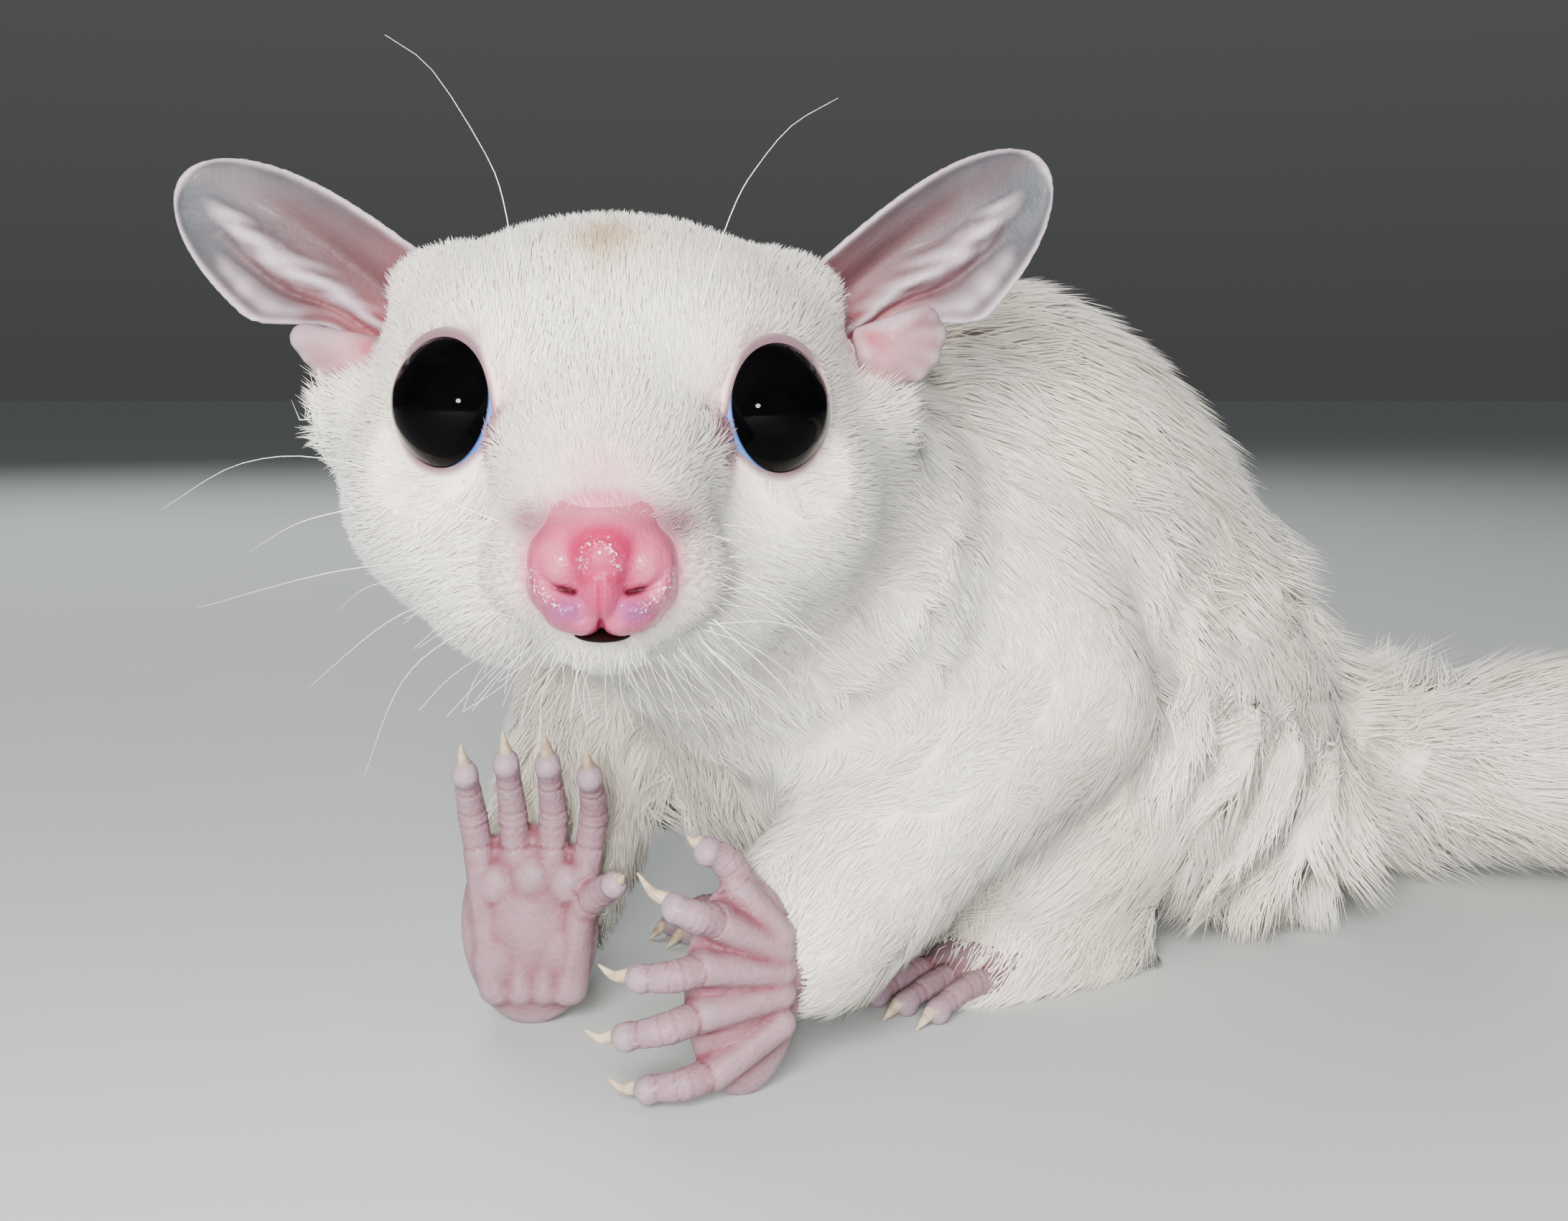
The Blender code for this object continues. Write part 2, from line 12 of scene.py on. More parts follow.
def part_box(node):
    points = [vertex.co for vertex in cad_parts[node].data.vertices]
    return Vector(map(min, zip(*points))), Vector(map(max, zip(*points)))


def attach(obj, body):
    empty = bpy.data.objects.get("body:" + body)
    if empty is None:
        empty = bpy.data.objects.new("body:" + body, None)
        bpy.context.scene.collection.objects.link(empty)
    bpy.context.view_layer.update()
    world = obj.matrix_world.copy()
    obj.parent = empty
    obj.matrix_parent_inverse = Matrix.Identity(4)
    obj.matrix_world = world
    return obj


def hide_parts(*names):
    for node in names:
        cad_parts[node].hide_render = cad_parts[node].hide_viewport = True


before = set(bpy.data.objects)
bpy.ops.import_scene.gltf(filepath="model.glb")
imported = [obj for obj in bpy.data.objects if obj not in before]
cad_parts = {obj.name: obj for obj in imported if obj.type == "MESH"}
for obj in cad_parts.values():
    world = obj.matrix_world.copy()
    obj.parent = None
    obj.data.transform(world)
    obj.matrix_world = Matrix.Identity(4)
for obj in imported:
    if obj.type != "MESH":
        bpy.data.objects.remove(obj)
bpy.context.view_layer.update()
mm = 0.001

# How the animal stands; the head's middle lies between the eyes, a little in front of them.
stance = {"headYaw": 3.5, "headRoll": 1.0, "eyeSetBack": 1.6, "bodyAxis": 38.7}


def middleOf(node):
    low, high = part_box(node)
    return (np.array(low) + np.array(high)) / 2


def unit(vectors):
    return vectors / np.maximum(np.linalg.norm(vectors, axis=-1, keepdims=True), 1e-12)


# From 0 to 1 between two values, gently at both ends.
def ramp(low, high, x):
    t = np.clip((x - low) / (high - low), 0, 1)
    return t * t * (3 - 2 * t)


# From 1 at the middle down to 0 away from it: along one measure, or round a place.
def bell(x, middle, width):
    return np.exp(-(((x - middle) / width) ** 2))


def blob(points, middle, radii):
    return np.exp(-(((points - np.array(middle)) / np.array(radii)) ** 2).sum(axis=1))


def lengths(vectors):
    return np.linalg.norm(vectors, axis=-1)


# Distances from one place; with radii, 1 is the skin of that egg.
def gapTo(points, middle, radii=1.0):
    return lengths((points - np.array(middle)) / np.array(radii))


def turnOf(yaw, pitch, roll):
    turn = Matrix.Rotation(math.radians(yaw), 3, "Z") @ Matrix.Rotation(math.radians(pitch), 3, "Y")
    return np.array(turn @ Matrix.Rotation(math.radians(roll), 3, "X"))


headTurn = turnOf(stance["headYaw"], stance["headRoll"], 0)
headMiddle = (middleOf("eye_left") + middleOf("eye_right")) / 2 - headTurn[:, 1] * stance["eyeSetBack"] * mm
bodyShift = np.array((headMiddle[0], headMiddle[1], 0.0))


# Head places are in millimetres: x to the animal's left, y to the back of the head, z up.
def toHead(points):
    return (np.asarray(points) - headMiddle) @ headTurn / mm


def fromHead(points):
    return np.asarray(points, dtype=float) @ headTurn.T * mm + headMiddle


# Body places are in millimetres, square to the model, from the floor under the head's middle.
def toBody(points):
    return (np.asarray(points) - bodyShift) / mm


def fromBody(points):
    return np.asarray(points, dtype=float) * mm + bodyShift


# Mesh tools
def addObject(name, data):
    piece = bpy.data.objects.new(name, data)
    bpy.context.scene.collection.objects.link(piece)
    return piece


def movePoints(mesh, points):
    mesh.vertices.foreach_set("co", np.asarray(points, dtype=np.float32).ravel())


def meshPiece(name, points, faces, material=None):
    faces = np.asarray(faces, dtype=np.int32)
    mesh = bpy.data.meshes.new(name)
    mesh.vertices.add(len(points))
    movePoints(mesh, points)
    mesh.loops.add(faces.size)
    mesh.loops.foreach_set("vertex_index", faces.ravel())
    mesh.polygons.add(len(faces))
    mesh.polygons.foreach_set("loop_start", np.arange(0, faces.size, faces.shape[1], dtype=np.int32))
    mesh.update(calc_edges=True)
    mesh.shade_smooth()
    if material:
        mesh.materials.append(material)
    return addObject(name, mesh)


def meshOf(bm, name):
    mesh = bpy.data.meshes.new(name)
    bm.to_mesh(mesh)
    bm.free()
    return mesh


def pointsOf(mesh):
    points = np.empty(len(mesh.vertices) * 3, dtype=np.float32)
    mesh.vertices.foreach_get("co", points)
    return points.reshape(-1, 3).astype(float)


def shapeOf(mesh):
    mesh.calc_loop_triangles()
    corners = np.empty(len(mesh.loop_triangles) * 3, dtype=np.int32)
    mesh.loop_triangles.foreach_get("vertices", corners)
    return pointsOf(mesh), corners.reshape(-1, 3)


# Square to each triangle, twice its area long.
def crossOf(points, triangles):
    a, b, c = (points[triangles[:, i]] for i in range(3))
    return np.cross(b - a, c - a)


def normalsOf(points, triangles):
    face = crossOf(points, triangles)
    out = np.zeros_like(points)
    for axis in range(3):
        for corner in range(3):
            out[:, axis] += np.bincount(triangles[:, corner], face[:, axis], len(points))
    return unit(out)


def edgesOf(triangles):
    pairs = np.concatenate([triangles[:, [0, 1]], triangles[:, [1, 2]], triangles[:, [2, 0]]])
    pairs = np.sort(pairs, axis=1).astype(np.int64)
    count = int(triangles.max()) + 1
    keys = np.unique(pairs[:, 0] * count + pairs[:, 1])
    return np.stack([keys // count, keys % count], axis=1)


# Each round moves every value part of the way to the mean of its neighbours.
def relaxed(values, edges, rounds, share=0.5):
    start, end = edges[:, 0], edges[:, 1]
    flat = np.array(values, dtype=float).reshape(len(values), -1)
    near = np.maximum(np.bincount(edges.ravel(), minlength=len(flat)), 1)
    for _ in range(rounds):
        for column in range(flat.shape[1]):
            line = flat[:, column]
            total = np.bincount(start, line[end], len(flat)) + np.bincount(end, line[start], len(flat))
            flat[:, column] = line + share * (total / near - line)
    return flat.reshape(np.shape(values))


def soften(points, edges, rounds, share):
    return points + (relaxed(points, edges, rounds) - points) * share[:, None]


# The piece's mesh after one modifier; the piece itself goes.
def modified(piece, kind, **settings):
    modifier = piece.modifiers.new(kind, kind)
    for key, value in settings.items():
        setattr(modifier, key, value)
    graph = bpy.context.evaluated_depsgraph_get()
    mesh = bpy.data.meshes.new_from_object(piece.evaluated_get(graph))
    bpy.data.objects.remove(piece, do_unlink=True)
    return mesh


def paint(mesh, name, values):
    layer = mesh.attributes.new(name, "FLOAT_COLOR", "POINT")
    layer.data.foreach_set("color", np.asarray(values, dtype=np.float32).ravel())


def addBall(bm, centre, radii, detail=4, turn=0.0):
    place = Matrix.Translation(Vector(centre)) @ Matrix.Rotation(math.radians(turn), 4, "Z")
    place = place @ Matrix.Diagonal((*radii, 1.0))
    bmesh.ops.create_icosphere(bm, subdivisions=detail, radius=1.0, matrix=place)


# One smooth closed form from balls or meshes that overlap.
def blendedForm(name, bm, voxel, rounds):
    rough = addObject(name, meshOf(bm, name))
    points, triangles = shapeOf(modified(rough, "REMESH", mode="VOXEL", voxel_size=voxel))
    return relaxed(points, edgesOf(triangles), rounds), triangles


def smoothPath(rows, count):
    rows = np.array(rows, dtype=float)
    knots = np.vstack([2 * rows[0] - rows[1], rows, 2 * rows[-1] - rows[-2]])
    out = []
    for step in np.linspace(0, len(rows) - 1, count):
        index = min(int(step), len(rows) - 2)
        t = step - index
        a, b, c, d = knots[index : index + 4]
        line = 2 * b + (c - a) * t + (2 * a - 5 * b + 4 * c - d) * t**2 + (3 * b - a - 3 * c + d) * t**3
        out.append(0.5 * line)
    return np.array(out)


def addChain(bm, rows, detail=3):
    length = lengths(np.diff(smoothPath(rows, 40)[:, :3], axis=0)).sum()
    count = int(min(max(3, length / (0.3 * min(row[3] for row in rows))), 50))
    for x, y, z, radius in smoothPath(rows, count):
        addBall(bm, (x, y, z), (radius,) * 3, detail)


# A closed round tube that tapers to its last row; rows are x, y, z and radius.
def tube(rows, sides=6):
    rows = np.asarray(rows, dtype=float)
    path, radii = rows[:, :3], rows[:, 3]
    ahead = unit(np.gradient(path, axis=0))
    spare = np.eye(3)[np.abs(ahead).sum(axis=0).argmin()]
    across = unit(np.cross(ahead, spare))
    over = np.cross(ahead, across)
    turn = np.arange(sides) * 2 * math.pi / sides
    ring = across[:, None] * np.cos(turn)[None, :, None] + over[:, None] * np.sin(turn)[None, :, None]
    points = (path[:, None] + ring * radii[:, None, None]).reshape(-1, 3)
    faces = []
    for row in range(len(rows) - 1):
        for k in range(sides):
            n = (k + 1) % sides
            a, b, c, d = row * sides + k, row * sides + n, (row + 1) * sides + n, (row + 1) * sides + k
            faces += [(a, b, c), (a, c, d)]
    last = len(points)
    points = np.vstack([points, path[0] - ahead[0] * radii[0] * 0.5, path[-1] + ahead[-1] * radii[-1]])
    for k in range(sides):
        n = (k + 1) % sides
        faces += [(n, k, last), (last - sides + k, last - sides + n, last + 1)]
    return points, np.array(faces)


def joined(parts):
    starts = np.cumsum([0] + [len(points) for points, _ in parts[:-1]])
    faces = [triangles + start for (_, triangles), start in zip(parts, starts)]
    return np.concatenate([points for points, _ in parts]), np.concatenate(faces)


# How far each place lies below its surroundings: 1 in a crease, -1 on a ridge.
def hollows(points, triangles, rounds, scale):
    away = relaxed(points, edgesOf(triangles), rounds) - points
    return np.clip((away * normalsOf(points, triangles)).sum(axis=1) / scale, -1, 1)


# Distance from a line of places, and how far along it the nearest place is.
def fromLine(points, line):
    gaps = lengths(points[:, None] - smoothPath(line, 40)[None])
    return gaps.min(axis=1), gaps.argmin(axis=1) / 39


# Up to three painted channels as colours.
def colourRows(*columns):
    spare = [np.zeros_like(columns[0])] * (3 - len(columns))
    return np.stack([*columns, *spare, np.ones_like(columns[0])], axis=1)


# Eyes: where they sit, which way they look and how far the lids open; millimetres and degrees,
# but for the corner's way round the eye.
eyes = {"radius": 4.4, "spread": 8.6, "turn": 38.0, "rise": 0.06, "opening": 59.0, "corner": 0.42,
        "inward": 0.09, "upward": 0.045, "bulge": 0.06, "white": (64.5, 66.0)}


def eyeCentre(side):
    return np.array((side * eyes["spread"], stance["eyeSetBack"], 0.0))


def eyeAxis(side):
    turn = math.radians(eyes["turn"])
    return unit(np.array((side * math.sin(turn), -math.cos(turn), eyes["rise"])))


# Inward is across the axis towards the nose, and upward is square to both.
def eyeSides(side):
    axis = eyeAxis(side)
    upward = unit(np.array((0, 0, 1.0)) - axis * axis[2])
    inward = np.cross(upward, axis)
    if inward[0] * side > 0:
        inward = -inward
    return inward, upward


# How far past the lids' edge, which way round from the inner corner up, how far from the eye's
# centre, and the angle from the eye's axis; angles are in degrees but for the way round.
def eyeAngles(points, side):
    away = points - eyeCentre(side)
    reach = lengths(away)
    inward, upward = eyeSides(side)
    theta = np.degrees(np.arccos(np.clip(away @ eyeAxis(side) / np.maximum(reach, 1e-9), -1, 1)))
    around = np.arctan2(away @ upward, away @ inward)
    return theta - lidOpening(around), around, reach, theta


# Half opening of the lids by the way round: an upright egg, drawn out to the inner corner.
def lidOpening(around):
    corner = bell(np.angle(np.exp(1j * (around + eyes["corner"]))), 0, 0.36)
    taller = 0.6 * np.cos(2 * (around - math.pi / 2))
    return eyes["opening"] + taller + 7.5 * corner


# Skin: one piece for all the flesh, under the coat by its depth.
skinPlan = {"voxel": 0.45, "swell": 0.22, "triangles": 170000, "smoothing": 10}
headNodes = ["head", "jaw"]
trunkNodes = ["neck", "chest", "rump", "patagium_left", "patagium_right"]
limbNodes = ["upper_arm_left", "upper_arm_right", "forearm_left", "forearm_right", "leg_left", "leg_right"]
tailNodes = ["tail_1", "tail_2", "tail_3", "tail_4"]
fleshNodes = headNodes + trunkNodes + limbNodes + tailNodes

# By node: coat's depth, hair length, tufts to a square millimetre, tuft width; millimetres.
coats = {
    "head": (0.9, 2.5, 31.0, 0.085),
    "jaw": (0.8, 2.2, 31.0, 0.085),
    "neck": (1.4, 3.6, 11.0, 0.125),
    "chest": (2.5, 7.4, 6.9, 0.15),
    "rump": (2.9, 8.4, 6.6, 0.155),
    "patagium": (2.3, 7.6, 7.2, 0.15),
    "upper_arm": (1.5, 4.4, 10.0, 0.125),
    "forearm": (1.1, 3.2, 13.0, 0.11),
    "leg": (2.0, 5.8, 8.4, 0.145),
    "tail_1": (4.0, 11.0, 6.8, 0.165),
    "tail_2": (5.4, 14.0, 6.2, 0.165),
    "tail_3": (5.6, 14.0, 6.2, 0.165),
    "tail_4": (4.0, 13.0, 7.2, 0.16),
}


def coatOf(node):
    return coats[node] if node in coats else coats[node.rsplit("_", 1)[0]]


# The tail's middle line, from the rump to the right and round to the front.
tailPlan = {"length": 162.0, "straight": 36.0, "bend": 118.0, "slant": 0.14, "root": (57.0, 71.0)}


def tailLine():
    turnRadius = (tailPlan["length"] - tailPlan["straight"]) / math.radians(tailPlan["bend"])
    steps = np.linspace(0, tailPlan["length"], 60)
    ahead = np.minimum(steps, tailPlan["straight"])
    angle = np.maximum(0, steps - tailPlan["straight"]) / turnRadius
    x = tailPlan["root"][0] + ahead + turnRadius * np.sin(angle)
    y = tailPlan["root"][1] - tailPlan["slant"] * ahead - turnRadius * (1 - np.cos(angle))
    return np.stack([x, y, np.full_like(x, 11.0)], axis=1)


# Which way the hair lies on each node, in the body's frame.
axisTurn = math.radians(stance["bodyAxis"])
backward = np.array((math.cos(axisTurn), math.sin(axisTurn), 0.0))
hairLies = {
    "neck": backward * 0.7 + np.array((0, 0, -0.7)),
    "chest": backward * 0.8 + np.array((0, 0, -0.7)),
    "rump": backward * 0.85 + np.array((0, 0, -0.6)),
    "patagium_left": backward * 0.3 + np.array((0.1, -0.1, -0.95)),
    "patagium_right": backward * 0.3 + np.array((-0.1, 0.1, -0.95)),
    "upper_arm_left": (11, -4, -12),
    "upper_arm_right": (-8, 6, -14),
    "forearm_left": (-19, -17, -12.6),
    "forearm_right": (-3.8, -19, -12.6),
    "leg_left": (-8, -8, -9),
    "leg_right": (-8, -10, -9),
}


def lieAt(points, node):
    if node in headNodes:
        return unit(toHead(points) - np.array((0, -19.0, -8.0))) @ headTurn.T
    if node in tailNodes:
        line = tailLine()
        nearest = lengths(toBody(points)[:, None, :2] - line[None, :, :2]).argmin(axis=1)
        return unit(np.gradient(line, axis=0))[nearest]
    return np.tile(unit(np.array(hairLies[node], dtype=float)), (len(points), 1))


# Balls that close the skin where a wrist or an ankle goes in, in body millimetres.
plugs = [
    (10.6, 15.2, 9.4, 4.0), (-8.9, 29.0, 7.4, 3.9),
    (32.0, 39.4, 1.0, 7.4), (29.0, 36.8, 0.8, 7.0), (26.2, 34.4, 0.4, 6.5), (35.5, 42.0, 1.5, 7.2),
    (14.6, 56.0, 1.2, 6.8), (11.6, 53.0, 0.8, 6.3),
]


# Every flesh solid, a little swollen so that they meet, with the plugs.
def joinedFlesh():
    parts = []
    for name in fleshNodes + ["eye_left", "eye_right", "nose"]:
        points, triangles = shapeOf(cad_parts[name].data)
        swell = skinPlan["swell"] if name in fleshNodes else 0.0
        parts.append((points + normalsOf(points, triangles) * swell * mm, triangles))
    for x, y, z, radius in plugs:
        bm = bmesh.new()
        addBall(bm, fromBody((x, y, z)), (radius * mm,) * 3, 3)
        parts.append(shapeOf(meshOf(bm, "plug")))
    return joined(parts)


# For each point, which of the spots is nearest.
def nearestIndex(spots, points):
    tree = KDTree(len(spots))
    for index, spot in enumerate(spots):
        tree.insert(spot, index)
    tree.balance()
    return np.array([tree.find(point)[1] for point in points])


def nearestNodes(points):
    spots, labels = [], []
    for index, name in enumerate(fleshNodes):
        here, triangles = shapeOf(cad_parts[name].data)
        spots += [here, here[triangles].mean(axis=1)]
        labels += [index] * (len(here) + len(triangles))
    return np.array(labels)[nearestIndex(np.concatenate(spots), points)]


noseMiddle = np.array((0, -15.0, -8.0))


def coatDepths(points, labels):
    depth = np.array([coatOf(name)[0] for name in fleshNodes])[labels]
    onHead = labels < len(headNodes)
    depth[onHead] *= (0.3 + 0.7 * ramp(3, 13, gapTo(toHead(points), noseMiddle)))[onHead]
    return depth


# Lids hug the eyeball: a thin raised rim round the opening, which then runs out into the face.
lidPlan = {"lip": 0.3, "tuck": 0.3, "reach": 30.0}


def shapeLids(head):
    for side in (-1, 1):
        past, _, reach, theta = eyeAngles(head, side)
        rise = (lidPlan["lip"] + lidPlan["tuck"]) * ramp(-2.4, 4.5, past)
        rim = eyes["radius"] - lidPlan["tuck"] + rise
        rim += 0.16 * bell(past, 6, 4.0)
        share = 1 - ramp(8.0, lidPlan["reach"], past)
        share[(reach > 9.5) | (theta > 120)] = 0
        wanted = np.where(past < 6, rim, np.maximum(rim, reach))
        away = unit(head - eyeCentre(side))
        head += away * ((wanted - reach) * share)[:, None]
    return head


# The ear's opening is hollowed out of the side of the head.
earHollow = {"middle": (16.6, 11.0, 4.4), "reach": 2.3, "depth": 1.6}


def earGap(head, side):
    return gapTo(head, np.array(earHollow["middle"]) * (side, 1, 1))


def hollowEars(head):
    for side in (-1, 1):
        share = bell(earGap(head, side), 0, earHollow["reach"])
        inward = np.array((-side * 0.8, 0.6, 0.0)) * earHollow["depth"]
        head = head + inward * share[:, None]
    return head


# A bed for the nose pad, so that the skin doesn't show through its nostrils.
def sinkNoseBed(head):
    pad = gapTo(head, (0, -15.5, -7.8), (3.7, 4.2, 3.5))
    head[:, 1] += 1.4 * (1 - ramp(0.6, 1.0, pad)) * ramp(-5.6, -6.6, head[:, 2])
    return head


# Soft creases round the throat, and the folds of the gliding membrane behind the arm.
creases = {"middle": (0, 12.0, 0.0), "radii": (20.5, 24.0, 27.8, 32.0), "depth": 1.2, "width": 1.5}
folds = {"length": 6.6, "height": 1.5}


def shapeCreases(points, normals, labels, edges):
    head = toHead(points)
    fromJaw = gapTo(head, creases["middle"])
    share = (labels == fleshNodes.index("neck")) + 0.4 * (labels == fleshNodes.index("chest"))
    share = relaxed(share, edges, 30) * ramp(-2, -8, head[:, 2])
    share = share * ramp(46, 36, toBody(points)[:, 1])
    dip = np.zeros(len(points))
    for index, radius in enumerate(creases["radii"]):
        wander = 0.8 * np.sin(head[:, 0] * 0.16 + index * 1.7)
        dip -= bell(fromJaw - radius - wander, 0, creases["width"])
    return normals * (dip * share * creases["depth"] * mm)[:, None]


def shapeFolds(points, normals, labels):
    here = toBody(points)
    names = [fleshNodes.index(name) for name in ("patagium_left", "chest", "rump", "patagium_right")]
    share = np.isin(labels, names) * ramp(40, 24, here[:, 2]) * ramp(30, 38, here[:, 1])
    along = here @ np.array((math.cos(0.35), math.sin(0.35), -0.5))
    wave = np.sin(along * 2 * math.pi / folds["length"] + 0.9 * np.sin(here[:, 2] * 0.21))
    return normals * (wave * share * folds["height"] * mm)[:, None]


def refine(mesh, wanted):
    bm = bmesh.new()
    bm.from_mesh(mesh)
    bm.verts.ensure_lookup_table()
    edges = [edge for edge in bm.edges if wanted[edge.verts[0].index] and wanted[edge.verts[1].index]]
    bmesh.ops.subdivide_edges(bm, edges=edges, cuts=1, use_grid_fill=True)
    bmesh.ops.triangulate(bm, faces=bm.faces)
    bm.to_mesh(mesh)
    bm.free()


# Around the eyes the skin is finer; past the face it may be thinned.
facePlan = {"eyeReach": 7.5, "middle": (0, -2.0, -2.0), "reach": 21, "floor": 0.0004}


def makeSkin():
    blank = meshPiece("flesh", *joinedFlesh())
    mesh = modified(blank, "REMESH", mode="VOXEL", voxel_size=skinPlan["voxel"] * mm)

    points, triangles = shapeOf(mesh)
    edges = edgesOf(triangles)
    labels = nearestNodes(points)
    points = relaxed(points, edges, skinPlan["smoothing"])
    depth = relaxed(coatDepths(points, labels), edges, 60)
    for _ in range(4):
        points = points - normalsOf(points, triangles) * (depth / 4 * mm)[:, None]
        points = relaxed(points, edges, 2)
    normals = normalsOf(points, triangles)
    shift = shapeCreases(points, normals, labels, edges) + shapeFolds(points, normals, labels)
    points = points + relaxed(shift, edges, 2)
    movePoints(mesh, points)
    print("skin: under the coat,", len(points), "points")

    head = toHead(points)
    wanted = np.zeros(len(points), dtype=bool)
    for side in (-1, 1):
        past, _, reach, _ = eyeAngles(head, side)
        wanted |= (reach < facePlan["eyeReach"]) & (np.abs(past) < 24)
    refine(mesh, wanted)

    points, triangles = shapeOf(mesh)
    edges = edgesOf(triangles)
    head = toHead(points)
    bridge = np.clip(1.6 * blob(head, (0, -15.0, -4.0), (4.6, 5.0, 2.4)), 0, 1)
    head = soften(head, edges, 50, bridge)
    head = shapeLids(hollowEars(sinkNoseBed(head)))
    near = np.zeros(len(points))
    for side in (-1, 1):
        past, _, reach, _ = eyeAngles(head, side)
        near = np.maximum(near, ((reach < 10) & (past > 9)) * ramp(40, 20, past))
    head = soften(head, edges, 6, near)
    points = fromHead(head)
    points[:, 2] = np.maximum(points[:, 2], facePlan["floor"])
    movePoints(mesh, points)

    skin = addObject("skin", mesh)
    coarse = skin.vertex_groups.new(name="coarse")
    far = np.flatnonzero(gapTo(head, facePlan["middle"]) > facePlan["reach"])
    coarse.add(far.tolist(), 1.0, "REPLACE")
    keep = min(1.0, skinPlan["triangles"] / len(triangles))
    mesh = modified(skin, "DECIMATE", ratio=keep, vertex_group="coarse")
    mesh.shade_smooth()
    return addObject("skin", mesh)


skin = makeSkin()
print("stage: skin made,", len(skin.data.polygons), "faces")


# Coat tone at a place: bare pink, tan and mauve, each from 0 to 1, for skin and hair alike.
tones = {"padReach": (0.95, 1.2), "crownStain": 0.95, "flankCreamAndShade": 0.34}


# Head places with both sides laid on the left one.
def mirrored(head):
    return np.column_stack([np.abs(head[:, 0]), head[:, 1:]])


def padGap(head):
    return gapTo(head, noseMiddle, (4.1, 5.0, 4.0))


def tonesAt(points):
    head = toHead(points)
    x, y, z = head.T
    both = mirrored(head)
    pad = padGap(head)
    pink = [
        1 - ramp(*tones["padReach"], pad),
        blob(head, (0, -15.6, -4.9), (3.4, 4.0, 1.7)),
        0.65 * blob(head, (0, -13.5, -3.4), (3.0, 4.0, 2.3)),
        0.9 * blob(both, (16.6, 10.5, 4.6), (3.4, 3.4, 3.4)),
    ]
    speckle = 0.5 + 0.5 * np.sin(y * 7.0 + z * 3.0) * np.sin(z * 8.5 - y * 2.0)
    mauve = [
        np.zeros(len(points)),
        blob(both, (4.1, -14.0, -5.7), (1.7, 3.0, 1.2)),
        speckle * blob(both, (5.2, -13.4, -8.3), (1.7, 3.0, 2.5)),
    ]
    for side in (-1, 1):
        past, around, reach, _ = eyeAngles(head, side)
        wide = 2.5 + 5.0 * ramp(0.5, 0.95, np.sin(around)) + 1.2 * ramp(0.6, 0.95, -np.sin(around))
        mauve.append((1 - ramp(wide * 0.35, wide * 1.7, past)) * ramp(7.0, 6.0, reach))
        inner = 0.5 * (1 - ramp(2, 12, past)) * (reach < facePlan["eyeReach"])
        pink.append(inner * ramp(0.3, 1, np.cos(around)))
    edge = bell(pad, 1.0, 0.14) * ramp(2.0, 3.2, both[:, 0]) * ramp(-8.4, -6.8, z)
    tan = [
        tones["crownStain"] * blob(head, (-0.5, 0.8, 9.2), (2.7, 5.0, 2.4)),
        0.6 * blob(head, (-0.4, -1.0, 7.6), (1.7, 4.0, 2.6)),
        0.9 * blob(head, (8.4, 4.5, 9.2), (1.2, 5.0, 1.3)) * (0.5 + 0.5 * np.sin(x * 6.0)),
        0.6 * edge,
        # Creamier behind the neck: partly the coat's own colour, partly painted shade for the light falling
        # off away from the head.
        tones["flankCreamAndShade"] * ramp(20, 34, toBody(points)[:, 1]),
    ]
    return colourRows(*(np.max(tone, axis=0) for tone in (pink, tan, mauve)))


# How thickly hair grows: none on lids, nose pad, ear roots and below the wrists.
def hairShare(points):
    head = toHead(points)
    share = np.ones(len(points))
    for side in (-1, 1):
        past, around, reach, _ = eyeAngles(head, side)
        above, below = ramp(0.5, 0.95, np.sin(around)), ramp(0.6, 0.95, -np.sin(around))
        bare = 0.8 + 4.0 * above + 2.6 * below
        bare += 4.0 * ramp(0.3, 0.9, np.cos(around + eyes["corner"]))
        share *= np.where(reach < facePlan["eyeReach"], ramp(bare - 0.5, bare + 5.0, past), 1)
    pad = padGap(head)
    bridge = ramp(-5.6, -4.0, head[:, 2]) * ramp(0.6, 0.85, pad)
    share *= np.maximum(ramp(0.93, 1.05, pad), bridge)
    share *= 1 - 0.6 * blob(head, (0, -16.0, -4.4), (2.8, 3.0, 1.3))
    for side in (-1, 1):
        share *= ramp(3.3, 4.6, earGap(head, side))
    share *= 1 - 0.5 * blob(mirrored(head), (4.3, -13.8, -5.8), (1.2, 2.4, 0.85))
    share *= 1 - 0.5 * blob(mirrored(head), (5.4, -13.3, -8.5), (1.5, 2.8, 2.3))
    return share * ramp(0.9, 1.2, gapTo(head, (0, -15.5, -11.4), (1.7, 2.5, 0.42)))


# Coat: closed tapering tufts that lie along the skin, drawn together into locks.
coatPlan = {"most": 190000, "patch": 0.003, "sink": 0.12, "waist": 0.42, "stray": 9.0,
            "floor": 0.0001, "seed": 41}

# By group: locks to a tuft, how far tufts draw into them, how far locks turn and lift, the least
# height and what chance adds to it, and how far hair may stand off the skin in millimetres.
locks = {
    "coat_face": dict(share=0.02, pull=0.2, turn=2.0, lift=0.08, low=0.35, more=0.65, cling=2.5),
    "coat_body": dict(share=0.008, pull=0.5, turn=7.0, lift=0.25, low=0.3, more=0.75, cling=1.8),
    "coat_tail": dict(share=0.007, pull=0.4, turn=6.0, lift=0.2, low=0.25, more=0.8, cling=1.5),
}


